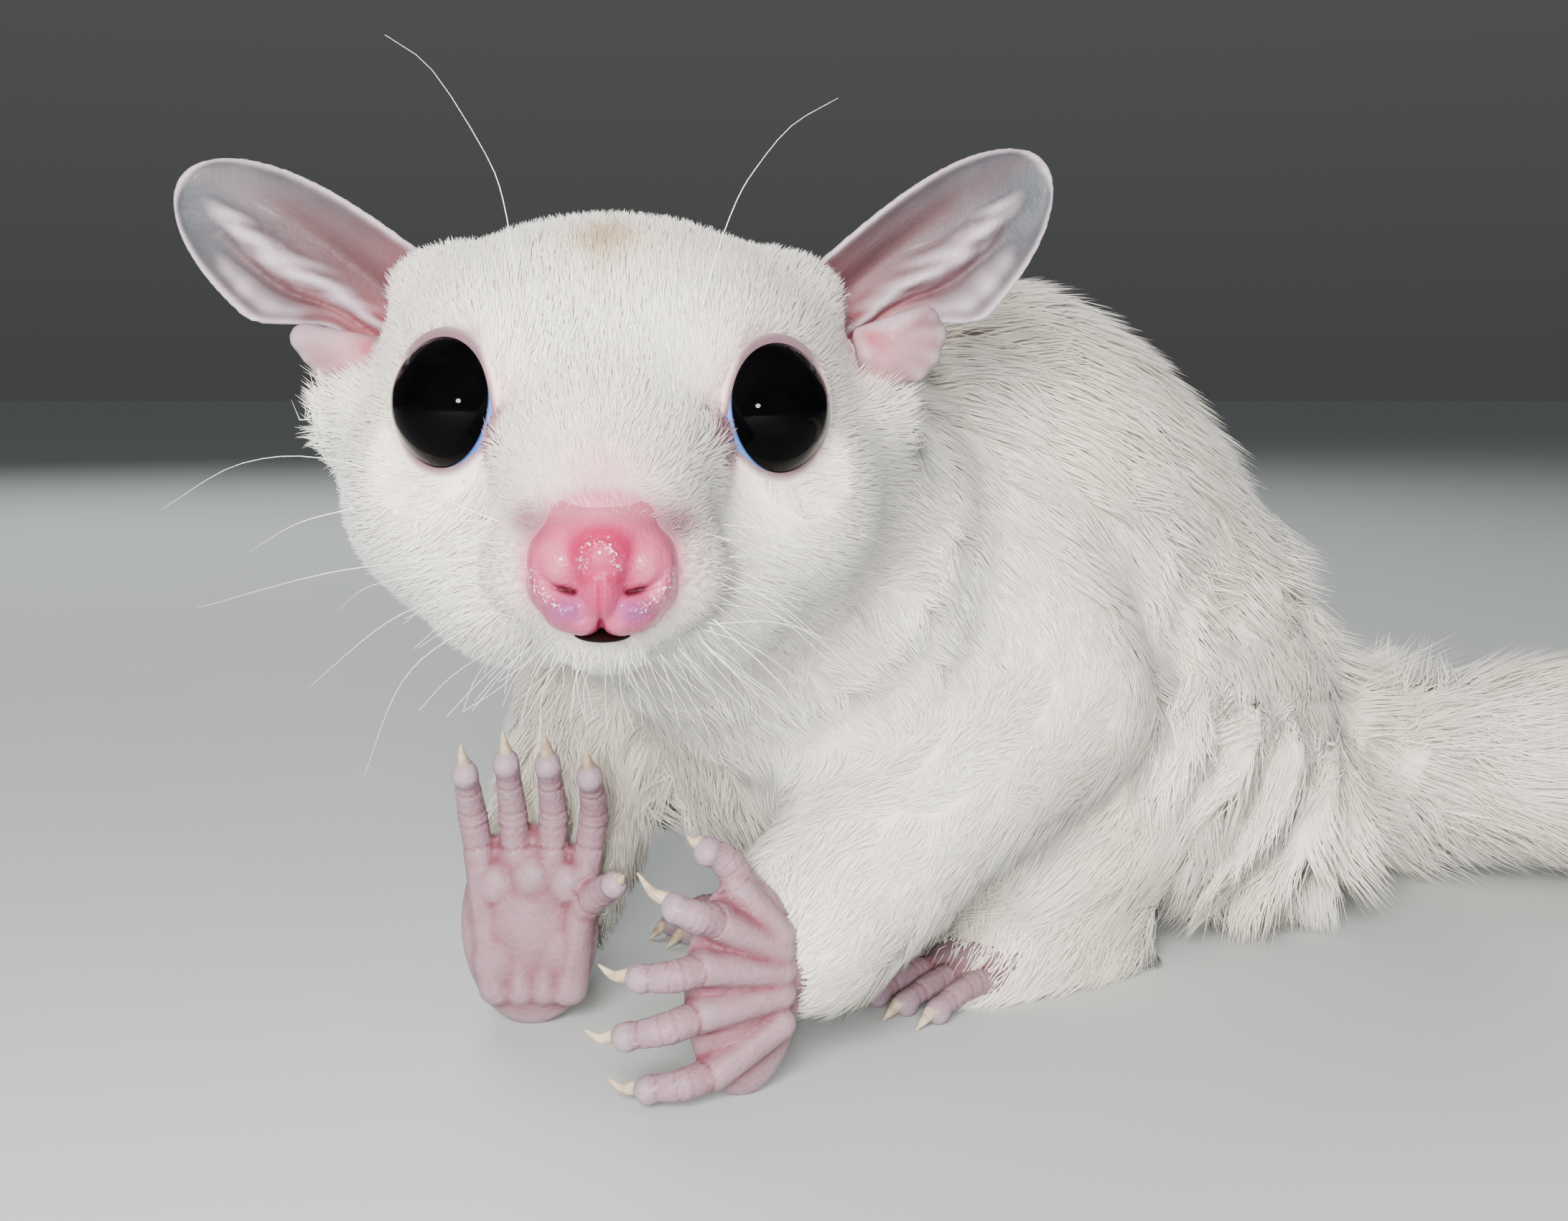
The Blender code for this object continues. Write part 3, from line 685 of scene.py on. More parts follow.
# What the coat needs to know at each skin point: see coats for the table's columns.
def skinFields():
    points, triangles = shapeOf(skin.data)
    edges = edgesOf(triangles)
    labels = nearestNodes(points)
    normals = normalsOf(points, triangles)
    head, body = toHead(points), toBody(points)
    lie = np.zeros_like(points)
    for index, name in enumerate(fleshNodes):
        mine = labels == index
        lie[mine] = lieAt(points[mine], name)
    for side in (-1, 1):
        reach = eyeAngles(head, side)[2]
        away = unit(head - eyeCentre(side) - eyeAxis(side) * 2.0) @ headTurn.T
        against = np.minimum((lie * away).sum(axis=1), 0)
        lie += away * (ramp(11.0, 7.5, reach) * (0.5 - 1.3 * against))[:, None]
    lie = relaxed(unit(lie), edges, 60)
    line = tailLine()
    tip, bushy = blob(body, line[-1], 9.0), blob(body, line[-7], 14.0)
    lie = unit(lie - normals * ((lie * normals).sum(axis=1) * (1 - 0.5 * tip))[:, None])
    lie = unit(lie + normals * (0.4 * bushy)[:, None])
    table = np.array([coatOf(name) for name in fleshNodes])[labels]
    table = relaxed(table, edges, 40)
    depth, length = table[:, 0], table[:, 1]
    length *= 1 + 0.25 * bushy - 0.4 * tip
    for side in (-1, 1):
        past, _, reach, _ = eyeAngles(head, side)
        length *= np.where(reach < 9, 0.32 + 0.68 * ramp(2, 26, past), 1)
        depth *= np.where(reach < 9, 0.45 + 0.55 * ramp(2, 20, past), 1)
        below = blob(head, (side * 19.0, 13.5, -1.0), (3.4, 5.0, 4.4))
        length += 3.6 * below
        depth += 2.4 * below
    cuff = np.maximum(blob(body, (31.0, 37.0, 6.0), (8, 8, 5)), blob(body, (14.0, 54.6, 6.0), (7, 7, 5)))
    length += 2.4 * cuff + 2.4 * blob(body, (50.0, 46.0, 8.0), (14, 14, 7))
    fromNose = gapTo(head, noseMiddle)
    onHead = ramp(26, 20, fromNose)
    depth *= 1 - onHead * (1 - (0.3 + 0.7 * ramp(3, 13, fromNose)))
    length *= 1 - onHead * (1 - (0.28 + 0.72 * ramp(3, 17, fromNose)))
    return points, triangles, normals, lie, labels, table


# Even places over the skin by weight: each one's triangle and its share of the three corners.
def scattered(weights, count, dice):
    steps = (np.arange(count) + dice.random(count)) / count * weights.sum()
    chosen = np.searchsorted(np.cumsum(weights), steps).clip(0, len(weights) - 1)
    u, v = np.sqrt(dice.random(count)), dice.random(count)
    return chosen, np.stack([1 - u, u * (1 - v), u * v], axis=1)


def mixed(values, triangles, chosen, shares):
    shares = shares.reshape(len(shares), 3, *([1] * (values.ndim - 1)))
    return (values[triangles[chosen]] * shares).sum(axis=1)


def growTufts(name, roots, middles, ends, normals, endNormals, height, width, pull,
              patchAt, tone, dice):
    count = len(roots)
    waist = coatPlan["waist"]
    drift = pull - ends

    def middleLine(t):
        base = roots * (1 - t) * (1 - 2 * t) + middles * 4 * t * (1 - t) + ends * t * (2 * t - 1)
        upward = unit(normals * (1 - t) + endNormals * t)
        rise = height * (1 - (1 - t) ** 1.6) - coatPlan["sink"] * mm * (1 - t)
        return base + upward * rise[:, None] + drift * t**1.8, upward

    points = np.empty((count, 5, 3))
    shade = np.empty((count, 5, 3))
    points[:, 0], shade[:, 0] = middleLine(0.0)
    points[:, 4], shade[:, 4] = middleLine(1.0)
    here, upward = middleLine(waist)
    ahead = unit(middleLine(waist + 0.06)[0] - here)
    across = unit(np.cross(ahead, upward))
    over = np.cross(across, ahead)
    spin = dice.uniform(-0.5, 0.5, count)
    for corner, angle in enumerate((90, 210, 330)):
        turn = math.radians(angle) + spin
        out = across * np.cos(turn)[:, None] + over * (0.6 * np.sin(turn))[:, None]
        points[:, corner + 1] = here + out * (width / 2)[:, None]
        shade[:, corner + 1] = upward + out * 0.3
    points[:, :, 2] = np.maximum(points[:, :, 2], coatPlan["floor"])

    sides = np.array([(2, 1, 4), (3, 2, 4), (1, 3, 4), (1, 2, 0), (2, 3, 0), (3, 1, 0)])
    corners = [((k + 1, waist), (k, waist), (k + 0.5, 1.0)) for k in range(3)]
    corners += [((k, waist), (k + 1, waist), (k + 0.5, 0.0)) for k in range(3)]
    corners = np.array(corners, dtype=float) / np.array((3.0, 1.0)) - 0.5

    most = coatPlan["most"] // len(sides)
    pieces = []
    order = np.argsort(roots[:, 0])
    for part, chosen in enumerate(np.array_split(order, -(-count // most))):
        some = len(chosen)
        faces = (sides[None] + (np.arange(some) * 5)[:, None, None]).reshape(-1, 3)
        piece = meshPiece(f"{name}_{part + 1}", points[chosen].reshape(-1, 3), faces, coatMaterial)
        mesh = piece.data
        layer = mesh.uv_layers.new(name="OFBake")
        places = patchAt[chosen][:, None, None, :] + corners[None] * coatPlan["patch"]
        layer.uv.foreach_set("vector", places.astype(np.float32).ravel())
        paint(mesh, "tone", np.repeat(tone[chosen], 5, axis=0))
        strand = np.zeros((some, 5, 4))
        strand[:, :, 0] = (0.0, waist, waist, waist, 1.0)
        strand[:, :, 1] = dice.random(some)[:, None]
        strand[:, :, 3] = 1
        paint(mesh, "strand", strand.reshape(-1, 4))
        mesh.normals_split_custom_set_from_vertices(unit(shade[chosen].reshape(-1, 3)))
        pieces.append(piece)
    return pieces


def nearestOn(tree, points):
    places, normals = np.empty_like(points), np.empty_like(points)
    for index, point in enumerate(points):
        place, normal, _, _ = tree.find_nearest(point)
        places[index] = place
        normals[index] = normal
    return places, normals


def growCoat():
    dice = np.random.default_rng(coatPlan["seed"])
    points, triangles, normals, lie, labels, table = skinFields()
    tree = BVHTree.FromPolygons(points.tolist(), triangles.tolist())
    spots = np.empty(len(skin.data.loops) * 2, dtype=np.float32)
    skin.data.uv_layers["OFBake"].uv.foreach_get("vector", spots)
    spots = spots.reshape(-1, 3, 2)
    share = hairShare(points)
    share *= 1 - 0.7 * ramp(0.35, 0.75, -normals[:, 2]) * ramp(7, 4, toBody(points)[:, 2])
    share *= ramp(0.3, 0.6, lengths(np.cross(normals, lie)))
    area = lengths(crossOf(points, triangles)) / 2
    onFace, onTail = labels < len(headNodes), labels >= fleshNodes.index("tail_1")
    pieces = []
    for (name, lock), mine in zip(locks.items(), (onFace, ~onFace & ~onTail, onTail)):
        weights = np.where(mine, share * table[:, 2], 0)[triangles].mean(axis=1)
        count = int((area / mm**2 * weights).sum())
        chosen, shares = scattered(area * weights, count, dice)
        roots = mixed(points, triangles, chosen, shares)
        normal = unit(mixed(normals, triangles, chosen, shares))
        flow = unit(mixed(lie, triangles, chosen, shares))
        depth, length, _, width = mixed(table, triangles, chosen, shares).T
        many = max(1, int(count * lock["share"]))
        leaders = dice.choice(count, many, replace=False)
        mineLock = nearestIndex(roots[leaders], roots)
        side = np.cross(normal, flow)
        stray = dice.normal(0, coatPlan["stray"], count)
        stray = np.radians(stray + dice.normal(0, lock["turn"], many)[mineLock])
        flow = unit(flow * np.cos(stray)[:, None] + side * np.sin(stray)[:, None])
        height = depth * (lock["low"] + lock["more"] * dice.random(count)) * mm
        height *= dice.uniform(1 - lock["lift"], 1 + lock["lift"], many)[mineLock]
        length = length * dice.uniform(0.75, 1.1, count) * mm
        run = np.sqrt(np.maximum(length**2 - height**2, (0.3 * length) ** 2))
        middles, _ = nearestOn(tree, roots + flow * (run * 0.5)[:, None])
        free = roots + flow * run[:, None]
        ends, endNormals = nearestOn(tree, free)
        ahead = ramp(0.3, 0.7, (endNormals * flow).sum(axis=1))[:, None]
        endNormals = unit(endNormals * (1 - ahead) + normal * ahead)
        off = free - ends
        gap = lengths(off)
        ends += off * np.maximum(0, 1 - lock["cling"] * mm / np.maximum(gap, 1e-9))[:, None]
        leader = leaders[mineLock]
        ahead = ((roots - roots[leader]) * flow[leader]).sum(axis=1)
        target = ends[leader] + flow[leader] * (ahead * 0.6)[:, None]
        pull = ends + (target - ends) * lock["pull"]
        tone = tonesAt(roots)
        patchAt = (spots[chosen] * shares[:, :, None]).sum(axis=1)
        width = width * dice.uniform(0.7, 1.25, count) * mm
        made = growTufts(name, roots, middles, ends, normal, endNormals, height, width, pull,
                         patchAt, tone, dice)
        pieces += made
        print(f"stage: {name}, {count} tufts in {len(made)} pieces")
    return pieces


# Materials
def makeMaterial(name):
    material = bpy.data.materials.new(name)
    material.use_nodes = True
    return material, material.node_tree, material.node_tree.nodes["Principled BSDF"]


# Into each named socket goes a link from another node, or a plain value.
def feed(tree, node, inputs):
    for name, value in inputs.items():
        if isinstance(value, bpy.types.NodeSocket):
            tree.links.new(value, node.inputs[name])
        else:
            node.inputs[name].default_value = value


def addNode(tree, kind, inputs, **settings):
    node = tree.nodes.new("ShaderNode" + kind)
    for name, value in settings.items():
        setattr(node, name, value)
    feed(tree, node, inputs)
    return node


def mix(tree, share, first, second, blend="MIX"):
    inputs = {"Factor": share, "A": first, "B": second}
    return addNode(tree, "Mix", inputs, data_type="RGBA", blend_type=blend).outputs["Result"]


def ranged(tree, value, low, high, toLow=0.0, toHigh=1.0):
    inputs = {"Value": value, "From Min": low, "From Max": high, "To Min": toLow, "To Max": toHigh}
    return addNode(tree, "MapRange", inputs).outputs["Result"]


def times(tree, first, second):
    return addNode(tree, "Math", {0: first, 1: second}, operation="MULTIPLY").outputs[0]


def noiseOf(tree, scale, detail=2.0):
    place = addNode(tree, "TexCoord", {}).outputs["Object"]
    return addNode(tree, "TexNoise", {"Scale": scale, "Detail": detail, "Vector": place}).outputs["Fac"]


def channels(tree, name):
    painted = addNode(tree, "Attribute", {}, attribute_name=name).outputs["Color"]
    return addNode(tree, "SeparateColor", {"Color": painted}).outputs


def bumpOf(tree, height, strength, distance):
    inputs = {"Strength": strength, "Distance": distance, "Height": height}
    return addNode(tree, "Bump", inputs).outputs["Normal"]


# Coat and skin colours; root, the colour at the hair's roots, is partly painted shade deep in the coat.
colours = {
    "white": (0.93, 0.90, 0.85, 1), "cream": (0.82, 0.73, 0.57, 1), "tan": (0.50, 0.34, 0.18, 1),
    "pink": (0.60, 0.19, 0.27, 1), "mauve": (0.31, 0.095, 0.16, 1), "root": (0.70, 0.62, 0.52, 1),
}


def makeCoatMaterial():
    material, tree, shader = makeMaterial("white_fur")
    tone, strand = channels(tree, "tone"), channels(tree, "strand")
    patches = ranged(tree, noiseOf(tree, 90.0, 3.0), 0.4, 0.7, 0.0, 0.5)
    colour = mix(tree, patches, colours["white"], colours["cream"])
    colour = mix(tree, tone["Green"], colour, colours["cream"])
    colour = mix(tree, ranged(tree, tone["Green"], 0.36, 1.0), colour, colours["tan"])
    # Roots creamier and darker: partly the hair's own colour, partly painted shade deep in the coat.
    colour = mix(tree, ranged(tree, strand["Red"], 0.0, 0.55, 0.4, 0.0), colour, colours["root"])
    colour = mix(tree, 1.0, colour, ranged(tree, strand["Green"], 0.0, 1.0, 0.84, 1.0), "MULTIPLY")
    stain = times(tree, tone["Red"], ranged(tree, strand["Red"], 0.2, 1.0, 0.85, 0.5))
    colour = mix(tree, stain, colour, colours["pink"])
    veil = times(tree, tone["Blue"], ranged(tree, strand["Red"], 0.1, 1.0, 1.0, 0.75))
    colour = mix(tree, veil, colour, colours["mauve"])
    feed(tree, shader, {"Base Color": colour, "Roughness": 0.62, "Specular IOR Level": 0.3,
                        "Sheen Weight": 0.25, "Sheen Roughness": 0.5})
    return material


def makeSkinMaterial():
    material, tree, shader = makeMaterial("furred_skin")
    tone = channels(tree, "tone")
    colour = mix(tree, noiseOf(tree, 300.0, 3.0), (0.78, 0.70, 0.62, 1), (0.86, 0.78, 0.72, 1))
    colour = mix(tree, tone["Green"], colour, colours["cream"])
    colour = mix(tree, tone["Red"], colour, colours["pink"])
    colour = mix(tree, tone["Blue"], colour, (0.17, 0.10, 0.12, 1))
    bump = bumpOf(tree, noiseOf(tree, 2600.0), 0.25, 0.0002)
    feed(tree, shader, {"Base Color": colour, "Roughness": 0.6, "Normal": bump})
    return material


def unwrapSkin():
    bpy.ops.object.select_all(action="DESELECT")
    skin.select_set(True)
    bpy.context.view_layer.objects.active = skin
    skin.data.uv_layers.new(name="OFBake")
    bpy.ops.object.mode_set(mode="EDIT")
    bpy.ops.mesh.select_all(action="SELECT")
    bpy.ops.uv.smart_project(angle_limit=math.radians(75), island_margin=0.002)
    bpy.ops.object.mode_set(mode="OBJECT")


coatMaterial = makeCoatMaterial()
skin.data.materials.append(makeSkinMaterial())
paint(skin.data, "tone", tonesAt(pointsOf(skin.data)))
unwrapSkin()
print("stage: skin unwrapped")
coat = growCoat()


# Eyeballs
def makeEyeball(name, side, material):
    bm = bmesh.new()
    bmesh.ops.create_uvsphere(bm, u_segments=128, v_segments=96, radius=1.0)
    axis = eyeAxis(side)
    inward, upward = eyeSides(side)
    gaze = unit(axis - eyes["inward"] * inward + eyes["upward"] * upward)
    turn = Vector((0, 0, 1)).rotation_difference(Vector(gaze)).to_matrix()
    for vert in bm.verts:
        theta = math.degrees(math.acos(max(-1, min(1, vert.co.z))))
        bulge = 1 + eyes["bulge"] * math.exp(-((theta / 38) ** 2))
        place = np.array(turn @ vert.co) * eyes["radius"] * bulge + eyeCentre(side)
        vert.co = Vector(fromHead(place))
    mesh = meshOf(bm, name)
    mesh.shade_smooth()
    mesh.materials.append(material)
    points = toHead(pointsOf(mesh)) - eyeCentre(side)
    theta = np.degrees(np.arccos(np.clip(unit(points) @ gaze, -1, 1)))
    white = ramp(*eyes["white"], theta)
    paint(mesh, "white", colourRows(white, theta / 180, white))
    return addObject(name, mesh)


def makeEyeMaterial():
    material, tree, shader = makeMaterial("wet_eye")
    parts = channels(tree, "white")
    depths = ranged(tree, noiseOf(tree, 500.0, 3.0), 0.35, 0.65)
    dark = mix(tree, depths, (0.0006, 0.0006, 0.0008, 1), (0.0012, 0.0012, 0.0015, 1))
    pale = mix(tree, depths, (0.07, 0.17, 0.50, 1), (0.12, 0.24, 0.60, 1))
    colour = mix(tree, parts["Red"], dark, pale)
    feed(tree, shader, {"Base Color": colour, "Roughness": 0.03, "IOR": 1.3, "Specular IOR Level": 0.09})
    return material


eyeMaterial = makeEyeMaterial()
eyeballs = [makeEyeball("eyeball_right", -1, eyeMaterial), makeEyeball("eyeball_left", 1, eyeMaterial)]


# Bare skin: pink, with a deeper colour, a violet flush and a paler colour by its painted channels, painted
# shade by the dark channel and painted highlight dots by the glint colour.
def makeBareMaterial(name, plan):
    material, tree, shader = makeMaterial(name)
    flesh, shine = channels(tree, "flesh"), channels(tree, "shine")
    patches = ranged(tree, noiseOf(tree, plan["patches"], 3.0), 0.35, 0.65)
    colour = mix(tree, patches, plan["base"], plan["other"])
    colour = mix(tree, flesh["Red"], colour, plan["deep"])
    colour = mix(tree, flesh["Green"], colour, plan["flush"])
    colour = mix(tree, shine["Red"], colour, plan["pale"])
    beadNoise = noiseOf(tree, plan["beads"], 1.0)
    # Painted highlight: dots of the glint colour where the shine's second channel is high, as wet glints.
    glintDots = times(tree, ranged(tree, beadNoise, 0.57, 0.67, 0.0, plan["glintDots"]), shine["Green"])
    colour = mix(tree, glintDots, colour, plan["glint"])
    # Painted shade: the dark colour by the flesh's third channel.
    colour = mix(tree, flesh["Blue"], colour, plan["dark"])
    wetness = times(tree, ranged(tree, shine["Green"], 0.1, 0.7, 0.3, 1.0),
                    ranged(tree, flesh["Blue"], 0.0, 0.4, plan["wet"], 0.0))
    grain = noiseOf(tree, plan["grain"], 3.0)
    raised = {0: ranged(tree, beadNoise, 0.4, 0.65, 0.0, 1.2), 1: shine["Green"], 2: grain}
    beads = addNode(tree, "Math", raised, operation="MULTIPLY_ADD").outputs[0]
    feed(tree, shader, {
        "Base Color": colour, "Roughness": plan["roughness"], "Subsurface Weight": plan["soft"],
        "Subsurface Radius": (1.0, 0.35, 0.3), "Subsurface Scale": 0.0008, "Coat Weight": wetness,
        "Coat Roughness": 0.1, "Normal": bumpOf(tree, beads, plan["bump"], 0.00012),
    })
    return material


# Nose pad: a dome on a short column, a wing pad and lobe on each side, slit nostrils, split lip.
# The glint colour and its dots' strength are painted highlight dots; the dark colour is painted shade in
# the nostrils.
nosePlan = {
    "base": (0.37, 0.05, 0.11, 1), "other": (0.42, 0.075, 0.145, 1), "deep": (0.31, 0.008, 0.06, 1),
    "flush": (0.17, 0.035, 0.145, 1), "dark": (0.05, 0.003, 0.006, 1), "pale": (0.45, 0.12, 0.185, 1),
    "glint": (0.95, 0.78, 0.84, 1), "glintDots": 0.7, "patches": 700.0, "grain": 4200.0, "beads": 4600.0,
    "bump": 0.6, "roughness": 0.34, "soft": 0.15, "wet": 1.0,
    "voxel": 0.11, "groove": 0.3, "slit": 0.34, "slitWidth": 0.19,
    "balls": [((0, -14.9, -7.2), (2.5, 2.75, 2.3)), ((0, -14.2, -6.2), (3.0, 3.2, 2.4)),
              ((0, -14.9, -8.8), (1.6, 2.75, 2.3)), ((0, -13.4, -6.0), (3.2, 2.9, 2.1))],
    "sideBalls": [((2.0, -14.6, -7.6), (1.9, 2.5, 2.0)), ((2.75, -14.2, -8.9), (1.25, 2.2, 1.6)),
                  ((1.45, -14.75, -10.0), (1.75, 2.2, 1.5)), ((0.95, -14.8, -10.7), (1.1, 2.0, 0.9))],
    "nostril": [(1.4, -9.15), (1.9, -9.05), (2.45, -8.85), (2.9, -8.5), (3.15, -8.0), (3.15, -7.4)],
    "wing": [(3.5, -6.9), (3.6, -8.0), (3.3, -9.0), (2.5, -9.8), (1.5, -9.95)],
    "flank": [(0.75, -9.6), (1.15, -8.7), (1.65, -7.7), (1.8, -6.9), (1.5, -6.0), (0.7, -5.6)],
    "arch": [(-0.85, -7.8), (-0.8, -7.0), (-0.35, -6.45), (0.2, -6.4), (0.7, -6.9), (0.8, -7.8)],
}


# The top of the pad follows the skin of the bridge and dips under it.
def settleTop(points):
    bedPoints, bedTriangles = shapeOf(skin.data)
    bed = BVHTree.FromPolygons(bedPoints.tolist(), bedTriangles.tolist())
    upper = (points[:, 2] > -6.2) & (points[:, 1] < -13.6)
    here = points[upper]
    places, out = nearestOn(bed, fromHead(here))
    lift = 0.05 - 0.3 * ramp(-4.7, -3.9, here[:, 2])
    lift -= 0.3 * ramp(2.7, 3.5, np.abs(here[:, 0])) * ramp(-6.2, -5.3, here[:, 2])
    wanted = toHead(places + out * (lift * mm)[:, None])
    share = ramp(-6.1, -4.8, here[:, 2]) * ramp(-13.6, -14.8, here[:, 1])
    points[upper] = here + (wanted - here) * share[:, None]
    return points


def makeNose():
    bm = bmesh.new()
    for middle, radii in nosePlan["balls"]:
        addBall(bm, middle, radii)
    for side in (-1, 1):
        for (x, y, z), radii in nosePlan["sideBalls"]:
            addBall(bm, (side * x, y, z), radii)
    points, triangles = blendedForm("nose", bm, nosePlan["voxel"], 8)
    edges = edgesOf(triangles)
    points = relaxed(points, edges, 3)
    points = settleTop(soften(points, edges, 30, ramp(-6.8, -5.8, points[:, 2])))
    points = soften(points, edges, 10, ramp(-7.0, -6.2, points[:, 2]))
    normals = normalsOf(points, triangles)
    front = ramp(0.1, -0.35, normals[:, 1])
    x, z = points[:, 0], points[:, 2]
    wide = np.abs(x)
    flat = np.stack([wide, z], axis=1)
    boss = np.exp(-(((x / 1.4) ** 2 + ((z + 7.3) / 1.45) ** 2) ** 2))
    column = np.exp(-((x / 0.95) ** 4)) * ramp(-7.6, -8.4, z) * ramp(-11.0, -10.0, z)
    groove = bell(x, 0, 0.12) * ramp(-7.9, -8.9, z) * (0.6 + 0.9 * ramp(-10.4, -11.3, z))
    gap, along = fromLine(flat, nosePlan["nostril"])
    slit = bell(gap, 0, nosePlan["slitWidth"]) * (1 - 0.8 * ramp(0.2, 0.8, along))
    flank = bell(fromLine(flat, nosePlan["flank"])[0], 0, 0.5) * ramp(-5.3, -6.2, z)
    rim, rimAlong = fromLine(flat, nosePlan["wing"])
    rimShare = bell(rim, 0, 0.3) * ramp(0.0, 0.2, rimAlong)
    push = 0.18 * boss + 0.04 * column + 0.14 * rimShare - groove * nosePlan["groove"] - flank * 0.05
    points = points + normals * (push * front)[:, None]
    points[:, 1] += slit * front * nosePlan["slit"]
    points = relaxed(points, edges, 1)
    points = soften(points, edges, 6, ramp(-8.5, -7.6, z))
    fromBoss = np.hypot(x, z + 7.4)
    ring = (1 - ramp(1.3, 2.4, fromBoss)) * (1 - 0.3 * bell(fromBoss, 0, 0.8)) * ramp(-9.6, -8.4, z)
    stem = 0.85 * bell(x, 0, 1.1) * ramp(-6.6, -8.4, z) * ramp(-11.2, -9.8, z)
    # Deeper pink round the boss and down the stem is the pad's own colour; the share added in the groove
    # and the slits is painted shade.
    deep = np.clip(np.maximum(0.95 * ring, stem) + 0.5 * groove + 0.5 * slit, 0, 1)
    flush = 0.9 * np.exp(-(((wide - 1.7) / 1.0) ** 2 + ((z + 10.1) / 0.75) ** 2))
    flush = np.maximum(flush, 0.35 * rimShare)
    # Painted shade: dark in the nostril slits.
    dark = np.clip(slit * 1.5 - 0.2, 0, 1) * ramp(0.5, 0.25, along) * ramp(0.3, -0.1, normals[:, 1])
    # The arch and the wing rims: raised beads and painted highlight dots.
    arch, _ = fromLine(np.stack([x, z], axis=1), nosePlan["arch"])
    edge = bell(rim, 0, 0.28) * ramp(0.15, 0.4, rimAlong) * ramp(1.0, 0.8, rimAlong)
    sparkle = np.maximum(bell(arch, 0, 0.22), edge)
    top = ramp(-5.9, -5.0, z)
    pale = 0.5 * np.exp(-(((wide - 2.5) / 0.7) ** 2 + ((z + 7.4) / 1.3) ** 2))
    pale = np.maximum(np.maximum(pale, top) * front, top)
    piece = meshPiece("nose_pad", fromHead(points), triangles, makeBareMaterial("wet_nose", nosePlan))
    paint(piece.data, "flesh", colourRows(deep * front, flush * front, dark))
    paint(piece.data, "shine", colourRows(pale, sparkle * front))
    return piece


# Mouth: a near-black egg under the split lip, over the lower lip, painted shade for the gap of the open
# mouth.
mouthPlan = {
    "middle": (0, -13.75, -11.65), "radii": (1.5, 2.1, 0.36),
    # Near-black colours: painted shade of the open mouth.
    "base": (0.004, 0.001, 0.001, 1), "other": (0.009, 0.0025, 0.002, 1),
}


def makeMouth():
    bm = bmesh.new()
    addBall(bm, mouthPlan["middle"], mouthPlan["radii"], 5)
    points, triangles = shapeOf(meshOf(bm, "mouth"))
    material, tree, shader = makeMaterial("dark_mouth")
    colour = mix(tree, noiseOf(tree, 900.0), mouthPlan["base"], mouthPlan["other"])
    feed(tree, shader, {"Base Color": colour, "Roughness": 0.7, "Specular IOR Level": 0.05})
    return meshPiece("mouth", fromHead(points), triangles, material)


# Ears: a thin cupped leaf with a ridge, a valley and a groove, and soft lobes at its lower root.
# The glint colour and its dots' strength are painted highlight dots on the ridge; the dark colour is
# painted shade in hollows, the upper valley and the groove.
earPlan = {
    "base": (0.052, 0.056, 0.065, 1), "other": (0.075, 0.08, 0.09, 1), "deep": (0.44, 0.11, 0.14, 1),
    "flush": (0.15, 0.07, 0.078, 1), "dark": (0.07, 0.026, 0.03, 1), "pale": (0.38, 0.315, 0.35, 1),
    "glint": (0.66, 0.60, 0.64, 1), "glintDots": 0.2,
    "patches": 420.0, "grain": 3200.0, "beads": 1500.0, "bump": 0.45,
    "roughness": 0.5, "soft": 0.1, "wet": 0.12,
    "place": (15.6, 14.2, 5.2), "turn": 8.0, "width": 10.2, "rootWidth": 12.6, "rootDepth": 6.0,
    "thickness": 0.42, "rows": 110, "columns": 70, "voxel": 0.16,
}
# By side: how far the ear lifts and its length; the lobes run from the canal to their edge.
earLifts = {-1: (36.0, 19.7), 1: (41.0, 21.0)}
earLobes = {
    -1: {"canal": (-14.9, 11.3, 3.5), "edge": [
        (-21.1, 4.0), (-20.5, 3.0), (-19.7, 1.9), (-18.5, 1.2), (-17.1, 1.0), (-15.8, 1.8)]},
    1: {"canal": (15.8, 11.3, 4.8), "edge": [
        (21.1, 6.1), (21.7, 4.9), (21.3, 3.4), (20.4, 2.2), (18.9, 1.6), (17.2, 1.5)]},
}


def earHalf(s):
    root = 0.5 * earPlan["rootWidth"] * (1 - s) ** 2
    past = np.maximum(0, (s - 0.35) / 0.65)
    leaf = 0.5 * earPlan["width"] * np.sqrt(np.maximum(1 - past**2.7, 0))
    return np.maximum(root, leaf)


def earPlace(side):
    return np.array(earPlan["place"]) * (side, 1, 1)


# Places on the ear's leaf: s from root to tip, v from the lower edge to the upper.
def earSurface(s, v, side):
    lift, length = earLifts[side]
    half = np.maximum(earHalf(s), 0.02)
    cup = 1.1 + 4.4 * (1 - s) ** 1.5
    z = half * v * np.where(v < 0, 0.42 + 0.62 * ramp(0.36, 0.6, s), 1)
    y = 1.2 + 2.6 * (1 - s) ** 2 - cup * (2 * z / earPlan["width"]) ** 2
    along = ramp(0.1, 0.25, s) * ramp(0.95, 0.7, s)
    ridgeAt = 0.02 - 0.22 * s
    wrinkle = 1 + 0.16 * np.sin(s * 57 + 4 * np.sin(v * 7)) + 0.15 * np.sin(s * 33 + v * 26)
    y -= 1.0 * along * wrinkle * bell(v - ridgeAt - 0.03 * np.sin(s * 17), 0, 0.17)
    y += 0.7 * ramp(0.02, 0.15, s) * ramp(0.8, 0.45, s) * bell(v - ridgeAt + 0.33, 0, 0.11)
    y += 0.7 * ramp(0.9, 0.4, s) * bell(v, 0.45, 0.2)
    fold = 0.5 * ramp(0.42, 0.52, s) * ramp(0.85, 0.65, s) * bell(v, -0.72, 0.15)
    y -= fold * (1 + 0.12 * np.sin(s * 70))
    y -= 0.3 * ramp(0.8, 1.0, np.abs(v)) * ramp(0.0, 0.3, s)
    x = side * (s * length - earPlan["rootDepth"] + (earPlan["rootDepth"] - 4.0) * s)
    turn = turnOf(0, -side * lift, side * earPlan["turn"])
    return np.stack([x, y, z], axis=-1) @ turn.T + earPlace(side)


